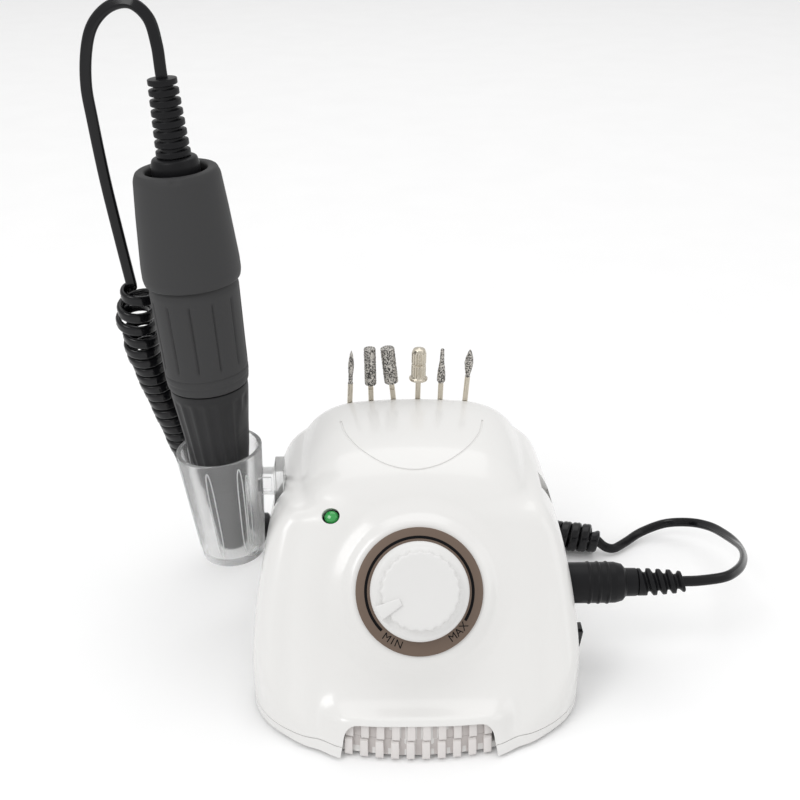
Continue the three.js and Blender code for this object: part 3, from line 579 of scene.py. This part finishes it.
def curled(route):
    """The cable's middle line wound around a route, and its across directions, which lie along
    the coil. The turns hang loose and uneven at the top and stand a little apart at the end."""
    axis = smooth_path(route, 0.5)
    tangent = directions(axis)
    along = np.concatenate([[0], np.cumsum(np.linalg.norm(np.diff(axis, axis=0), axis=1))])
    loose = np.exp(-((along / COIL_LOOSE_REACH) ** 2))
    pitch = COIL_PITCH + 1.5 * np.clip((along - 110) / 40, 0, 1) + 2.2 * loose
    pitch = pitch - 1.5 * smooth_step(along - along[-1] + 40, 20) + 0.15 * np.sin(along / 7)
    turns = np.concatenate([[0], np.cumsum(np.diff(along) / pitch[1:])])
    samples = np.arange(0, turns[-1], 1 / 24)
    centre = np.stack([np.interp(samples, turns, axis[:, k]) for k in range(3)], axis=1)
    ahead = np.stack([np.interp(samples, turns, tangent[:, k]) for k in range(3)], axis=1)
    ahead /= np.linalg.norm(ahead, axis=1, keepdims=True)
    side = np.cross(ahead, [0.0, 1.0, 0.15])
    side /= np.linalg.norm(side, axis=1, keepdims=True)
    up = np.cross(side, ahead)
    opening = np.minimum(samples / 0.7, (samples[-1] - samples) / 0.12)
    slack = np.interp(samples, turns, loose)
    radius = COIL_RADIUS * (1 - np.exp(-opening * 2.2)) * (1 + 0.03 * np.sin(samples * 1.7))
    radius *= 1 + slack * (0.25 + 0.12 * np.sin(samples * 4.1))
    angle = TAU * samples + math.pi / 2
    ring = np.cos(angle)[:, None] * side + np.sin(angle)[:, None] * up
    sway = 1.6 * slack * np.sin(samples * 2.3)
    return centre + radius[:, None] * ring + sway[:, None] * side, ahead


def cable(name, runs, **facts):
    """A cord through runs of (middle line, across directions), joined with an even twist."""
    path = np.vstack([line for line, _ in runs])
    wide = np.vstack([across for _, across in runs])
    kernel = np.hanning(15)
    kernel /= kernel.sum()
    reach = len(kernel) // 2
    padded = np.vstack([np.repeat(wide[:1], reach, 0), wide, np.repeat(wide[-1:], reach, 0)])
    wide = np.stack([np.convolve(padded[:, k], kernel, "valid") for k in range(3)], axis=1)
    shape = sweep(path, twin_section(CABLE_WIDTH, CABLE_THICKNESS), wide)
    piece = make(name, None, [(shape, LOOK["cord_black"])], sharp=80,
                 nodes=facts.pop("nodes"))
    return piece


VIEW_LINE = np.array([0.0, 0.89, -0.45])  # the loops show their flat side to the front


def flat_run(route, step=0.8):
    line = smooth_path(route, step)
    return line, np.cross(directions(line), VIEW_LINE)


def make_cords():
    """The cord is one cable. It is made as two pieces, parted in its curly length behind the box: the
    left one runs to the handpiece and the right one to the plug."""
    curl, ahead = curled(CURL_ROUTE)
    part = int(np.argmax(curl[:, 0] > 25))
    handpiece_cord = cable(
        "handpiece_cord", [flat_run([BOOT_INSIDE] + LOOP_ROUTE), (curl[2:part], ahead[2:part])],
        exit=metres(LOOP_ROUTE[0]), far_end="object", stiffness="medium", lay="hanging",
        nodes=["cord_loop", "curly_cord"],
    )
    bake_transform(handpiece_cord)
    plug_cord = cable(
        "plug_cord", [(curl[part - 1:-2], ahead[part - 1:-2]), flat_run(TAIL_ROUTE)],
        exit=metres(curl[part]), far_end="plug", stiffness="medium", lay="loose",
        nodes=["cord_tail"], with_pieces=[make_plug_barrel(), make_plug_boot()],
    )
    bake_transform(plug_cord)


def make_plug_barrel():
    profile = [(0, -14.6), (1.6, -14.6), (2.8, -12.6), (2.8, 0), (7.7, 0), (8.2, 0.8)]
    for height in (9.3, 13, 16.6):
        profile += [(8.2, height - 0.7), (8.55, height - 0.3), (8.55, height + 0.3),
                    (8.2, height + 0.7)]
    profile += [(8.2, 19.8), (7.4, 22.8), (5.7, 24.2), (5.6, 28.7), (0, 28.7)]
    shape = placed(lathe(soften(profile, 0.25), 64), PLUG_FRAME)
    return make("plug_barrel", "cord_plug", [(shape, LOOK["black_satin"])])


def make_plug_boot():
    """A tapering sleeve with slanting ridges."""
    start, end = 28.8 + GAP, 48.3
    profile = [(0, start), (5.5, start), (5.5, 31.8)]
    for ridge in range(4):
        low, radius = 32.6 + 4 * ridge, 5.5 - 0.3 * ridge
        profile += [(radius - 1.6, low), (radius - 1.6, low + 0.9), (radius, low + 1.6),
                    (radius - 0.1, low + 3.2)]
    profile = [*profile[:-2], (4.4, end - 1.6), (4.1, end - 0.4), (0, end - 0.4)]
    points, faces = lathe(soften(profile, 0.4), 64)
    points[:, 2] += 0.3 * points[:, 0] * smooth_step(points[:, 2] - 29.5, 2.5)
    points[:, 2] = np.minimum(points[:, 2], end)
    shape = placed((points, faces), PLUG_FRAME)
    return make("plug_boot", "cord_plug", [(shape, LOOK["black_satin"])])


make_cords()

# ---- The control box's outer form ---------------------------------------------------------------


def round_max(a, b, k):
    """The larger of two distances, with the edge between them rounded over about k."""
    return np.maximum(a, b) + np.maximum(k - np.abs(a - b), 0) ** 2 / (4 * k)


def round_min(a, b, k):
    return -round_max(-a, -b, k)


def front_bow(x):
    return FRONT_BOW * (np.abs(x) / 60) ** 3


def panel_distance(x, y, z, recess):
    """Distance from the sloping dial panel. It curves forward towards its foot, and its round boss
    swells up to just under the dial plate."""
    offset = np.stack([x, y, z], axis=-1) - DIAL
    height = offset @ DIAL_NORMAL
    radius = np.sqrt(np.maximum(np.sum(offset**2, axis=-1) - height**2, 0))
    down = np.maximum(-offset @ DIAL_UP, 0)
    skirt = smooth_step(SKIRT_RADIUS - radius, 10) * 1.6
    panel = 0.00115 * down**2 - PANEL_SETBACK + skirt
    boss = smooth_step(BOSS_RADIUS - radius, 5)
    return height + recess - panel * (1 - boss) + BOSS_SETBACK * boss


def box_distance(x, y, z):
    """Distance from the outer skin, negative inside: the hood in the middle, a wing on either
    side, and the shelf over the grille."""
    side = np.abs(x)
    front = (front_bow(x) - 1.2 - y) / 1.15
    behind = y - TOP_CREST_Y
    rise = np.where(behind < 0, 7 * (behind / 46) ** 2, 2 * (behind / 26) ** 2)
    top = z - (TOP_HEIGHT - rise - 1.8 * (x / 30) ** 2)
    dome = round_max(top, side - HOOD_HALF_WIDTH, 26)
    hood = round_max(round_max(panel_distance(x, y, z, 0), front, 4), dome, 11)
    bulge = 0.003 * np.maximum(z - 15, 0) ** 2 + 0.0004 * (y - 60) ** 2
    wing_top = round_max(0.8 * (z - WING_TOP) + 0.57 * (side - 56), z - WING_TOP - 3, 3)
    wing = round_max(round_max(panel_distance(x, y, z, 1.2), front, 4), wing_top, 5)
    wing = round_max(wing, side - (BOX_HALF_WIDTH - bulge), 9)
    shelf_front = FRONT_LEAN * (z - TRAY_BOTTOM) + 0.8 * front_bow(x) - 1.5 - y
    shelf = round_max(z - SHELF_HEIGHT - 0.05 * y, 0.9 * shelf_front, 2)
    shelf = round_max(shelf, side - SHELF_HALF_WIDTH, 7)
    body = round_max(round_min(hood, wing, 3), y - BOX_DEPTH, 14)
    return round_min(body, round_max(shelf, y - 30, 4), 7)


def reach_to_skin(start, rays, inset, near, far):
    """Where rays from a point inside meet the form that lies `inset` inside the skin."""
    near = np.full(len(rays), float(near))
    far = np.full(len(rays), float(far))
    for _ in range(34):
        middle = (near + far) / 2
        point = start + rays * middle[:, None]
        inside = box_distance(point[:, 0], point[:, 1], point[:, 2]) + inset < 0
        near = np.where(inside, middle, near)
        far = np.where(inside, far, middle)
    return start + rays * near[:, None]


def box_form(inset, columns, rows):
    lowest = math.radians(-14)
    elevation = lowest + np.arange(rows) / rows * (math.pi / 2 - lowest)
    turn = np.arange(columns) / columns * TAU
    rise, around = np.meshgrid(elevation, turn, indexing="ij")
    rays = np.stack([np.cos(rise) * np.sin(around), -np.cos(rise) * np.cos(around),
                     np.sin(rise)], axis=-1).reshape(-1, 3)
    skin = reach_to_skin(SIGHT_POINT, rays, inset, 1, 160)
    crown = reach_to_skin(SIGHT_POINT, np.array([[0.0, 0.0, 1.0]]), inset, 1, 160)
    points = np.vstack([skin, crown, [[0, SIGHT_POINT[1], -12]]])
    count = len(skin)
    faces = grid_faces(rows, columns, True)
    for column in range(columns):
        after = (column + 1) % columns
        faces.append([count - columns + column, count - columns + after, count])
        faces.append([after, column, count + 1])
    return clean((points, faces))


OUTER = box_form(0, 430, 210)
INNER = box_form(WALL, 96, 48)
FAR = 200


def layer(low, high):
    """A level slab wider than the whole object."""
    return block((-FAR, FAR), (-FAR, FAR), (low, high))


def leaning(shape):
    """The shape bent to the curve of the grille and sheared so that it leans back with it."""
    points = shape[0].copy()
    points[:, 1] += FRONT_LEAN * (points[:, 2] - TRAY_BOTTOM) + GRILLE_BOW * points[:, 0] ** 2
    return points, shape[1]


def curtain(outline, low, front, back):
    """A wall across the grille, between a height and an outline of (x, top)."""
    points = [(x, y, z) for x, top in densify(outline, 3)
              for y, z in ((front, low), (back, low), (back, top), (front, top))]
    count = len(points)
    faces = grid_faces(count // 4, 4, True) + [[0, 1, 2, 3], list(range(count - 4, count))]
    return leaning(clean((np.array(points, float), faces)))


def arch_shape():
    """The opening of the front grille: flared at the foot, with rounded upper corners."""
    corner = 6
    right = [(ARCH_HALF_WIDTH + 1.7, -1)]
    for step in range(9):
        t = step / 8
        right.append((
            (1 - t) ** 2 * ARCH_HALF_WIDTH + 2 * t * (1 - t) * (ARCH_HALF_WIDTH - 0.5)
            + t * t * (ARCH_HALF_WIDTH - corner),
            (1 - t) ** 2 * (ARCH_HEIGHT - corner) + 2 * t * (1 - t) * ARCH_HEIGHT
            + t * t * ARCH_HEIGHT,
        ))
    return curtain([(-x, z) for x, z in right] + right[::-1], -1.5, -20, ARCH_BACK)


def ribs(low, high, front, offset, foot):
    """One tier of grille ribs between two heights, rounded off below over `foot`."""
    tier = []
    for index in range(RIB_COUNT):
        x = (index - (RIB_COUNT - 1) / 2) * RIB_PITCH + offset
        back = ARCH_BACK + 0.6
        outline = [(back, low), (front + foot, low), (front + 0.3 * foot, low + 0.3 * foot),
                   (front, low + foot), (front, high), (back, high)]
        points = [(x + side * RIB_WIDTH / 2, y, z) for side in (-1, 1) for y, z in outline]
        faces = grid_faces(2, 6, True) + [[0, 1, 2, 3, 4, 5], [6, 7, 8, 9, 10, 11]]
        tier.append(leaning(bevelled(clean((np.array(points), faces)), 0.35, 2)))
    return tier


def groove_tool():
    """A thin tube along the U-shaped line on the top of the hood."""
    half = [(30, 108), (27.3, 95), (21, 83), (12, 75)]
    route = [(-x, y) for x, y in half] + [(0, 72)] + half[::-1]
    plan = smooth_path([(x, y, 0) for x, y in route], 0.8)
    start = np.stack([plan[:, 0], plan[:, 1], np.full(len(plan), 20.0)], axis=1)
    up = np.tile([0.0, 0.0, 1.0], (len(plan), 1))
    line = reach_to_skin(start, up, 0, 0, 100)
    return clean(sweep(line, circle(0.5, 8), up))


def make_housing():
    pockets = []
    for sign in (-1, 1):
        pockets.append(block(across(sign, 52.4, 57.2), (CUP_ARM_Y - 6.7, CUP_ARM_Y + 6.7),
                             (48.5, FAR)))
        pockets.append(block(across(sign, 57, 70), (CUP_ARM_Y - 3.4, CUP_ARM_Y + 3.4),
                             (62.5, FAR)))
    liners = [boolean("INTERSECT", block(across(sign, 49.5, 62),
                                         (CUP_ARM_Y - 9.2, CUP_ARM_Y + 9.2), (46, 74)), OUTER)
              for sign in (-1, 1)]
    switch_hole = block((-4.6, 4.6), (-7.6, 7.6), (-12, 9))
    bit_holes = [placed(rod(SHANK + 0.4, 0, 40, 16), bit_frame(name)) for name in BITS]
    bit_sleeves = [boolean("INTERSECT", placed(rod(3.2, -2, 30, 16), bit_frame(name)), OUTER)
                   for name in BITS]
    holes = [
        placed(rod(4.9, -20, 5), DIAL_FRAME),
        placed(rod(LED_HOLE_RADIUS, -8, 8), LED_FRAME @ Matrix.Diagonal((1.18, 1.05, 1, 1))),
        placed(rod(4.6, -12, 4), PLUG_FRAME),
        placed(rod(PLUG_BARREL_RADIUS + GAP, -0.2, 4, 64), PLUG_FRAME),
        placed(switch_hole, POWER_FRAME),
        placed(switch_hole, DIRECTION_FRAME),
        placed(rod(5, -12, 8), frame_at(PEDAL_SOCKET, -math.pi / 2)),
        placed(rod(5.6, -12, 8), frame_at(FUSE, -math.pi / 2)),
        placed(block((-10.4, 10.4), (-6.2, 6.2), (-12, 9)), frame_at(MAINS_INLET, -math.pi / 2)),
    ]
    shell = boolean("DIFFERENCE", OUTER, INNER, arch_shape())
    shell = boolean("UNION", shell, *liners, *bit_sleeves)
    shell = boolean("INTERSECT", shell, layer(PARTING_HEIGHT, FAR))
    shell = boolean("DIFFERENCE", shell, *pockets, *holes, *bit_holes, groove_tool())
    wall = curtain([(-29, 13), (29, 13)], GRILLE_SPLIT - 0.1, ARCH_BACK, ARCH_BACK + 0.8)
    upper_ribs = [boolean("INTERSECT", rib, OUTER)
                  for rib in ribs(GRILLE_SPLIT + 0.1, ARCH_HEIGHT + 0.7, -0.9, 0, 0.4)]
    make("upper_housing", "control_box",
         [(shell, LOOK["housing_white"]), (joined(*upper_ribs), LOOK["grille_white"]),
          (wall, RECESS_PAINTED_SHADE)],
         sharp=30)


def make_tray():
    hollow = boolean("INTERSECT", INNER, layer(TRAY_FLOOR, FAR))
    tray = boolean("INTERSECT", OUTER, layer(TRAY_BOTTOM, PARTING_HEIGHT - GAP))
    tray = boolean("DIFFERENCE", tray, hollow, arch_shape())
    wall = curtain([(-27.5, GRILLE_SPLIT - 0.2), (27.5, GRILLE_SPLIT - 0.2)], TRAY_BOTTOM,
                   ARCH_BACK, ARCH_BACK + 0.8)
    lower_ribs = ribs(TRAY_BOTTOM - 0.6, GRILLE_SPLIT - 0.2, -1.8, -0.4, 1.8)
    screw_wells = [placed(rod(3.3, 0, 2.5), Matrix.Translation((x, y, 0)))
                   for x, y in SCREW_PLACES]
    tray = boolean("DIFFERENCE", tray, *screw_wells)
    make("base_tray", "control_box",
         [(tray, LOOK["housing_white"]), (joined(*lower_ribs), LOOK["grille_white"]),
          (wall, RECESS_PAINTED_SHADE)],
         sharp=30)


make_housing()
make_tray()

# ---- Dial, lamp and switches --------------------------------------------------------------------


def ring_strip(inner, outer, start, end, low, high, steps=120):
    """A flat strip between two radii, from one angle to another."""
    angles = np.linspace(start, end, steps)
    outline = [(outer * math.cos(a), outer * math.sin(a)) for a in angles]
    outline += [(inner * math.cos(a), inner * math.sin(a)) for a in angles[::-1]]
    count = len(outline)
    points = [(x, y, z) for z in (low, high) for x, y in outline]
    faces = grid_faces(2, count, True)
    half = steps
    for layer in (0, count):
        for step in range(half - 1):
            faces.append([layer + step, layer + step + 1, layer + count - 2 - step,
                          layer + count - 1 - step])
    return clean((np.array(points), faces))


def letter(character, size, frame_matrix):
    """A printed letter, raised a little from its frame's XY plane."""
    curve = bpy.data.curves.new("letter", "FONT")
    curve.body = character
    curve.size = size
    curve.extrude = 0.03
    curve.align_x = "CENTER"
    curve.align_y = "CENTER"
    holder = bpy.data.objects.new("letter", curve)
    bpy.context.collection.objects.link(holder)
    bpy.context.view_layer.update()
    mesh = holder.evaluated_get(bpy.context.evaluated_depsgraph_get()).to_mesh()
    shape = (np.array([vert.co[:] for vert in mesh.vertices]),
             [list(face.vertices) for face in mesh.polygons])
    holder.to_mesh_clear()
    bpy.data.objects.remove(holder)
    bpy.data.curves.remove(curve)
    return placed(shape, frame_matrix)


def ring_word(word, centre_degrees, radius, size, spacing):
    """A word along the dial ring, with its foot outwards."""
    shapes = []
    for index, character in enumerate(word):
        offset = (index - (len(word) - 1) / 2) * spacing
        angle = math.radians(centre_degrees) + offset / radius
        spot = Matrix.Translation((radius * math.cos(angle), radius * math.sin(angle), 0.03))
        shapes.append(letter(character, size, spot @ Matrix.Rotation(angle + math.pi / 2, 4, "Z")))
    return joined(*shapes)


def make_dial():
    plate = lathe(soften([(15, -1), (DIAL_RADIUS, -1), (DIAL_RADIUS, 0), (15, 0)], 0.25)
                  + [(15, -0.2)], 160)
    arc = ring_strip(20.0, 21.1, math.radians(-33), math.radians(225), -0.05, 0.05)
    words = [ring_word("MIN", 240.5, 21.4, 4.1, 2.6), ring_word("MAX", 313.5, 21.4, 4.1, 2.9)]
    prints = placed(joined(arc, *words), DIAL_FRAME)
    make("dial_plate", "control_box",
         [(placed(plate, DIAL_FRAME), LOOK["dial_bronze"]), (prints, PRINT_BLACK)])


def make_knob():
    scallops = 24
    profile = densify(soften([
        (0, 0.4), (KNOB_RADIUS - 0.4, 0.4), (KNOB_RADIUS, 1), (KNOB_RADIUS, 4.6),
        (KNOB_RADIUS - 1.1, 5.9), (16.2, 6.6), (15.2, 8.4), (14.7, KNOB_HEIGHT),
        (0, KNOB_HEIGHT - 0.3),
    ], 1.1, 5), 0.7)

    def flute(angle, height, radius):
        rim = smooth_step(height - 6.4, 2.5) * smooth_step(radius - 10, 3.5)
        return radius - 0.25 * rim * (1 - np.cos(angle * scallops))

    cap = lathe(profile, 288, flute)
    cap = boolean("DIFFERENCE", cap, rod(12, 0, 3.2), rod(3.3, 0, 9.6))
    ridge = bevelled(extruded([(-1.4, 8.3), (1.4, 8.3), (2.8, 17.6), (-2.8, 17.6)],
                              6.2, KNOB_HEIGHT + 0.9), 0.35)
    ridge = placed(ridge, Matrix.Rotation(KNOB_REST_ANGLE - math.pi / 2, 4, "Z"))
    shape = placed(joined(cap, ridge), DIAL_FRAME)
    make("speed_knob", "dial_knob", [(shape, KNOB_WHITE)], sharp=40)


def make_led():
    dome = soften([(0, -7), (2.6, -7), (2.6, -1.6), (1.8, -0.3), (0, 0)], 0.8, 5)
    make("led_lens", "control_box",
         [(placed(lathe(dome, 40), LED_FRAME @ Matrix.Diagonal((1.12, 1.02, 1, 1))),
           LOOK["led_green"])])


def make_switch(name, body, switch_frame):
    well = block((-3.6, 3.6), (-7, 7), (-8, 2))
    flange = block((-5.2, 5.2), (-7.8, 7.8), (0.3, 0.9), 0.2)
    switch = boolean("UNION", flange, block((-4.3, 4.3), (-7.3, 7.3), (-11.5, 0.6)))
    switch = placed(boolean("DIFFERENCE", switch, well), switch_frame)
    make(f"{name}_switch_body", "control_box", [(switch, LOOK["black_satin"])])
    outline = [(-5.5, -1.5), (-1.2, -4.4), (1.2, -4.4), (5.5, -1.5), (5.8, 3.85), (3, 3.5),
               (0, 3.1), (-3, 2.5), (-5.8, 1.6)]
    rocker = placed(bevelled(prism(outline, -3.3, 3.3), 0.28),
                    switch_frame @ Matrix.Rotation(math.pi / 2, 4, "Z"))
    make(f"{name}_rocker", body, [(rocker, LOOK["black_gloss"])])


make_dial()
make_knob()
make_led()
make_switch("power", "power_button", POWER_FRAME)
make_switch("direction", "direction_button", DIRECTION_FRAME)

# ---- Bits ---------------------------------------------------------------------------------------

HEADS = {  # (radius, height) profiles; the first part up to `neck` is plain metal
    "needle_bit": [(1.175, 24.4), (0.9, 25.2), (0.95, 28), (1.25, 32), (1.2, 34.4), (0.6, 38.4),
                   (0, 40)],
    "long_barrel_bit": [(1.175, 23.2), (0.9, 23.5), (2.35, 23.8), (2.52, 24.6), (2.52, 40.6),
                        (2.25, 40.95), (0, 41)],
    "wide_barrel_bit": [(1.175, 24.3), (1.4, 24.6), (2.9, 24.9), (3.0, 25.6), (3.0, 40.9),
                        (2.7, 41.25), (0, 41.3)],
    "cone_bit": [(1.175, 24.4), (0.9, 24.7), (1.75, 25), (1.8, 27), (1.6, 30), (0.95, 35),
                 (0.8, 40.2), (0, 40.6)],
    "flame_bit": [(1.175, 27.2), (0.95, 28), (1.45, 30.4), (1.9, 33.8), (1.5, 36.6), (0.65, 39.2),
                  (0, 40.2)],
}
BIT_BODIES = dict(zip(BITS, ("bit_1", "bit_2", "bit_3", "bit_4", "bit_5", "bit_6")))


def rough_head(seed):
    """Diamond grains: small uneven bumps on the head's surface."""
    grains = np.random.default_rng(seed)

    def reshape(angle, height, radius):
        return radius * (1 + 0.035 * grains.standard_normal(radius.shape).clip(-1.5, 1.2))

    return reshape


def make_bit(name, seed):
    head = HEADS[name]
    rings = [22.4, 21.8] if "barrel" in name else []
    shank = [(0, 0.5), (SHANK - 0.2, 0.5), (SHANK, 0.8), (SHANK, 16)]
    for height in sorted(rings):
        shank += [(SHANK, height - 0.12), (SHANK - 0.18, height), (SHANK, height + 0.12)]
    shank += [head[0], (0, head[0][1])]
    grit = densify([(0, head[0][1] - 0.05), (head[0][0] - 0.05, head[0][1] - 0.05),
                    *soften(head[1:], 0.4)], 0.3)
    where = bit_frame(name)
    make(name, BIT_BODIES[name],
         [(placed(lathe(shank, 40), where), LOOK["steel"]),
          (placed(lathe(grit, 44, rough_head(seed)), where), LOOK["grit"])], sharp=50)


def make_mandrel():
    name = "sanding_mandrel"
    profile = densify(soften([
        (0, 0.5), (SHANK, 0.6), (SHANK, 25.8), (4.05, 26), (4.05, 26.9), (3.2, 27.3),
        (3.2, 32.8), (2.75, 33.1), (2.75, 33.5), (3.2, 33.8), (3.2, 38.6), (2.5, 40.4), (0, 41),
    ], 0.25), 0.5)

    def knurl(angle, height, radius):
        ridge = smooth_step(height - 27.3, 0.5) * smooth_step(39.3 - height, 0.8)
        return radius - 0.4 * ridge * (0.5 + 0.5 * np.cos(angle * 16)) * (radius > 2)

    shape = placed(lathe(profile, 180, knurl), bit_frame(name))
    make(name, BIT_BODIES[name], [(shape, LOOK["steel"])])


for number, bit_name in enumerate(HEADS):
    make_bit(bit_name, number)
make_mandrel()

# ---- Cup and its hanger -------------------------------------------------------------------------


def cup_radius(height):
    return CUP_BASE_RADIUS + (CUP_MOUTH_RADIUS - CUP_BASE_RADIUS) * height / CUP_DEPTH


def raised_outline(turn, half_width, middle, half_height, power):
    """A thin raised line around an oval on the cup's wall. A lower power squares it off."""
    line = []
    for step in range(41):
        angle = TAU * (step % 40) / 40
        up = math.sin(angle)
        height = middle + half_height * math.copysign(abs(up) ** power, up)
        around = math.radians(turn) + half_width * math.cos(angle) / cup_radius(height)
        reach = cup_radius(height) + 0.02
        line.append((reach * math.cos(around), reach * math.sin(around), height))
    line = np.array(line)
    return placed(clean(sweep(line, circle(0.28, 6), line * [1, 1, 0])), CUP_FRAME)


def make_cup():
    shell = lathe(soften([
        (0, 0.15), (CUP_BASE_RADIUS - 0.8, 0), (cup_radius(1), 1), (CUP_MOUTH_RADIUS, CUP_DEPTH),
        (CUP_MOUTH_RADIUS - CUP_WALL, CUP_DEPTH), (cup_radius(3.2) - CUP_WALL, 3.2), (0, 3),
    ], 0.5), 120)
    core = lathe([(0, 1), (cup_radius(1) - 0.6, 1), (cup_radius(50) - 0.6, 50), (0, 50)], 60)
    arm = boolean("DIFFERENCE", block((-80, -56.2), (CUP_ARM_Y - 3, CUP_ARM_Y + 3), (64, 74), 0.4),
                  placed(core, CUP_FRAME))
    hollow = block((-66, -58), (CUP_ARM_Y - 4, CUP_ARM_Y - 1.4), (66, 72), 0.3)
    tab = block((-56.8, -52.8), (CUP_ARM_Y - 6.3, CUP_ARM_Y + 6.3), (49, 77), 0.5)
    cup = boolean("UNION", placed(shell, CUP_FRAME), arm, tab)
    cup = boolean("DIFFERENCE", cup, hollow)
    ovals = [raised_outline(turn, 1.15, 26.8, 20.3, 0.5) for turn in (-101, -58, 20, 95, 150, 200)]
    ovals += [raised_outline(-47, 0.9, 26, 17, 0.5), raised_outline(-42, 2.1, 5.4, 2.1, 1)]
    make("handpiece_holder", "control_box", [(cup, LOOK["cup_clear"]), (joined(*ovals), CUP_RIM)])


make_cup()

# ---- Handpiece ----------------------------------------------------------------------------------


def dent(value, middle, width):
    """A soft dip, 1 deep in its middle and gone at `width` either side."""
    return np.clip(1 - ((value - middle) / width) ** 2, 0, 1) ** 2


def turn_between(angle, middle):
    return (angle - middle + math.pi) % TAU - math.pi


def body_relief(angle, height, radius):
    """Long grooves down the handpiece's body, and the three bands below them."""
    outside = radius > 15.2
    groove = dent(turn_between(angle * 12, 0), 0, 0.5)
    span = smooth_step(height - 85, 1.5) * smooth_step(114 - height, 1.5)
    depth = 0.6 * groove * span
    depth += 0.4 * dent(height, 79.2, 0.5) + 0.4 * dent(height, 82.4, 0.5)
    return radius - depth * outside


def ring_relief(angle, height, radius):
    """Flutes around the lock ring, a scoop for the thumb, and fine ridges in it."""
    outside = radius > 9.9
    flute = np.abs(np.sin(angle * 9)) ** 3
    span = smooth_step(height - 37, 6) * smooth_step(73 - height, 3)
    depth = 0.5 * (1 - flute) * span
    for side in (-0.35, -0.35 + math.pi):
        near = turn_between(angle, side)
        scoop = dent(near, 0, 0.55) * dent(height, 54, 17)
        ridges = 0.5 + 0.5 * np.cos(height * TAU / 1.25)
        depth = depth * (1 - np.clip(scoop * 2.5, 0, 1)) + 0.8 * scoop
        depth += 0.22 * ridges * np.clip(scoop * 3, 0, 1) * smooth_step(58 - height, 3)
    return radius - depth * outside


def handpiece_piece(name, profile, slot, body="handpiece", segments=120, relief=None,
                    material=None, step=1.2, edge=0.5):
    shape = placed(lathe(densify(soften(profile, edge), step), segments, relief),
                   HANDPIECE_FRAME)
    make(name, body, [(shape, material or LOOK[slot])], sharp=38)


def make_handpiece():
    handpiece_piece("handpiece_body", [
        (7.6, NOSE_END + 0.6), (7.6, RING_END + 0.3), (15.3, RING_END + 0.3),
        (15.8, RING_END + 1.4), (16.2, 80), (16.4, 92), (16.95, 115.5), (16.6, 117.4),
        (15, 121.5), (13.2, 155), (9.3, 155), (9.3, 153), (11.5, 153), (11.5, 122), (13.4, 117),
        (13.4, 80), (5.8, 78), (5.8, NOSE_END + 0.6), (7.6, NOSE_END + 0.6),
    ], "handpiece_charcoal", segments=240, relief=body_relief, step=0.6)

    def notch(angle, height, radius):
        front = dent(turn_between(angle, -1.45), 0, 0.16) * smooth_step(height - 158.6, 0.8)
        return radius - 0.5 * front * (radius > 12.6)

    handpiece_piece("rear_cover", [
        (17.2, COVER_START), (18, COVER_START), (18.5, 121.2), (18.45, 126), (17.1, 145),
        (15.9, 158.4), (14.8, COVER_END), (11.9, COVER_END), (11.2, 160.2), (11.2, 157.2),
        (14, 156.4), (15.9, 123.4), (17.2, COVER_START),
    ], "handpiece_charcoal", segments=160, relief=notch, step=0.9, edge=0.9)
    handpiece_piece("nose_sleeve", [
        (4.7, 0), (5.4, 0), (5.9, 0.8), (6.9, 12), (8.6, 22), (9.3, NOSE_END),
        (4.7, NOSE_END), (4.7, 0),
    ], "handpiece_charcoal", segments=64)
    handpiece_piece("chuck_lock_ring", [
        (8, NOSE_END + 0.3), (10.1, NOSE_END + 0.3), (11.1, 38), (12.3, 46), (13.4, 57),
        (14.5, 66), (15.15, 71.8), (15.15, RING_END - 0.1), (8, RING_END - 0.1),
        (8, NOSE_END + 0.3),
    ], "handpiece_charcoal", "lock_ring", 288, ring_relief, RING_GREY, 0.4)
    handpiece_piece("cord_collar", [
        (0, 150), (8.9, 150), (8.9, COLLAR_END - 3), (8.2, COLLAR_END - 0.6), (7, COLLAR_END),
        (0, COLLAR_END),
    ], "black_satin", segments=64, step=4)


def make_boot():
    """The ridged strain relief. Its gaps are cut from both sides, so a spine is left between."""
    start, ridges = COLLAR_END + GAP, 8
    pitch = (BOOT_END - start) / ridges
    base, taper = 6.3, 0.15
    profile = [(0, start)]
    for ridge in range(ridges):
        low, radius = start + ridge * pitch, base - taper * ridge
        profile += [(radius, low), (radius, low + 0.58 * pitch)]
        if ridge < ridges - 1:
            profile += [(radius - 1.8, low + 0.66 * pitch), (radius - 1.8, low + 0.92 * pitch)]

    def spine(angle, height, radius):
        depth = base - taper * (height - start) / pitch - radius
        return radius + 0.75 * np.clip(depth, 0, 2) * np.abs(np.sin(angle)) ** 6

    boot = lathe(soften([*profile, (0, BOOT_END - 0.42 * pitch)], 0.4), 64, spine)
    make("handpiece_boot", "handpiece", [(placed(boot, HANDPIECE_FRAME), LOOK["black_satin"])])


make_handpiece()
make_boot()

# ---- CAD pieces shown as they are ---------------------------------------------------------------

SLOT_OF = {entry["node"]: entry["material_slot"] for entry in frame["record"]["subparts"]}
for node_name, node in frame["nodes"].items():
    node.data.materials.clear()
    node.data.materials.append(LOOK[SLOT_OF[node_name]])
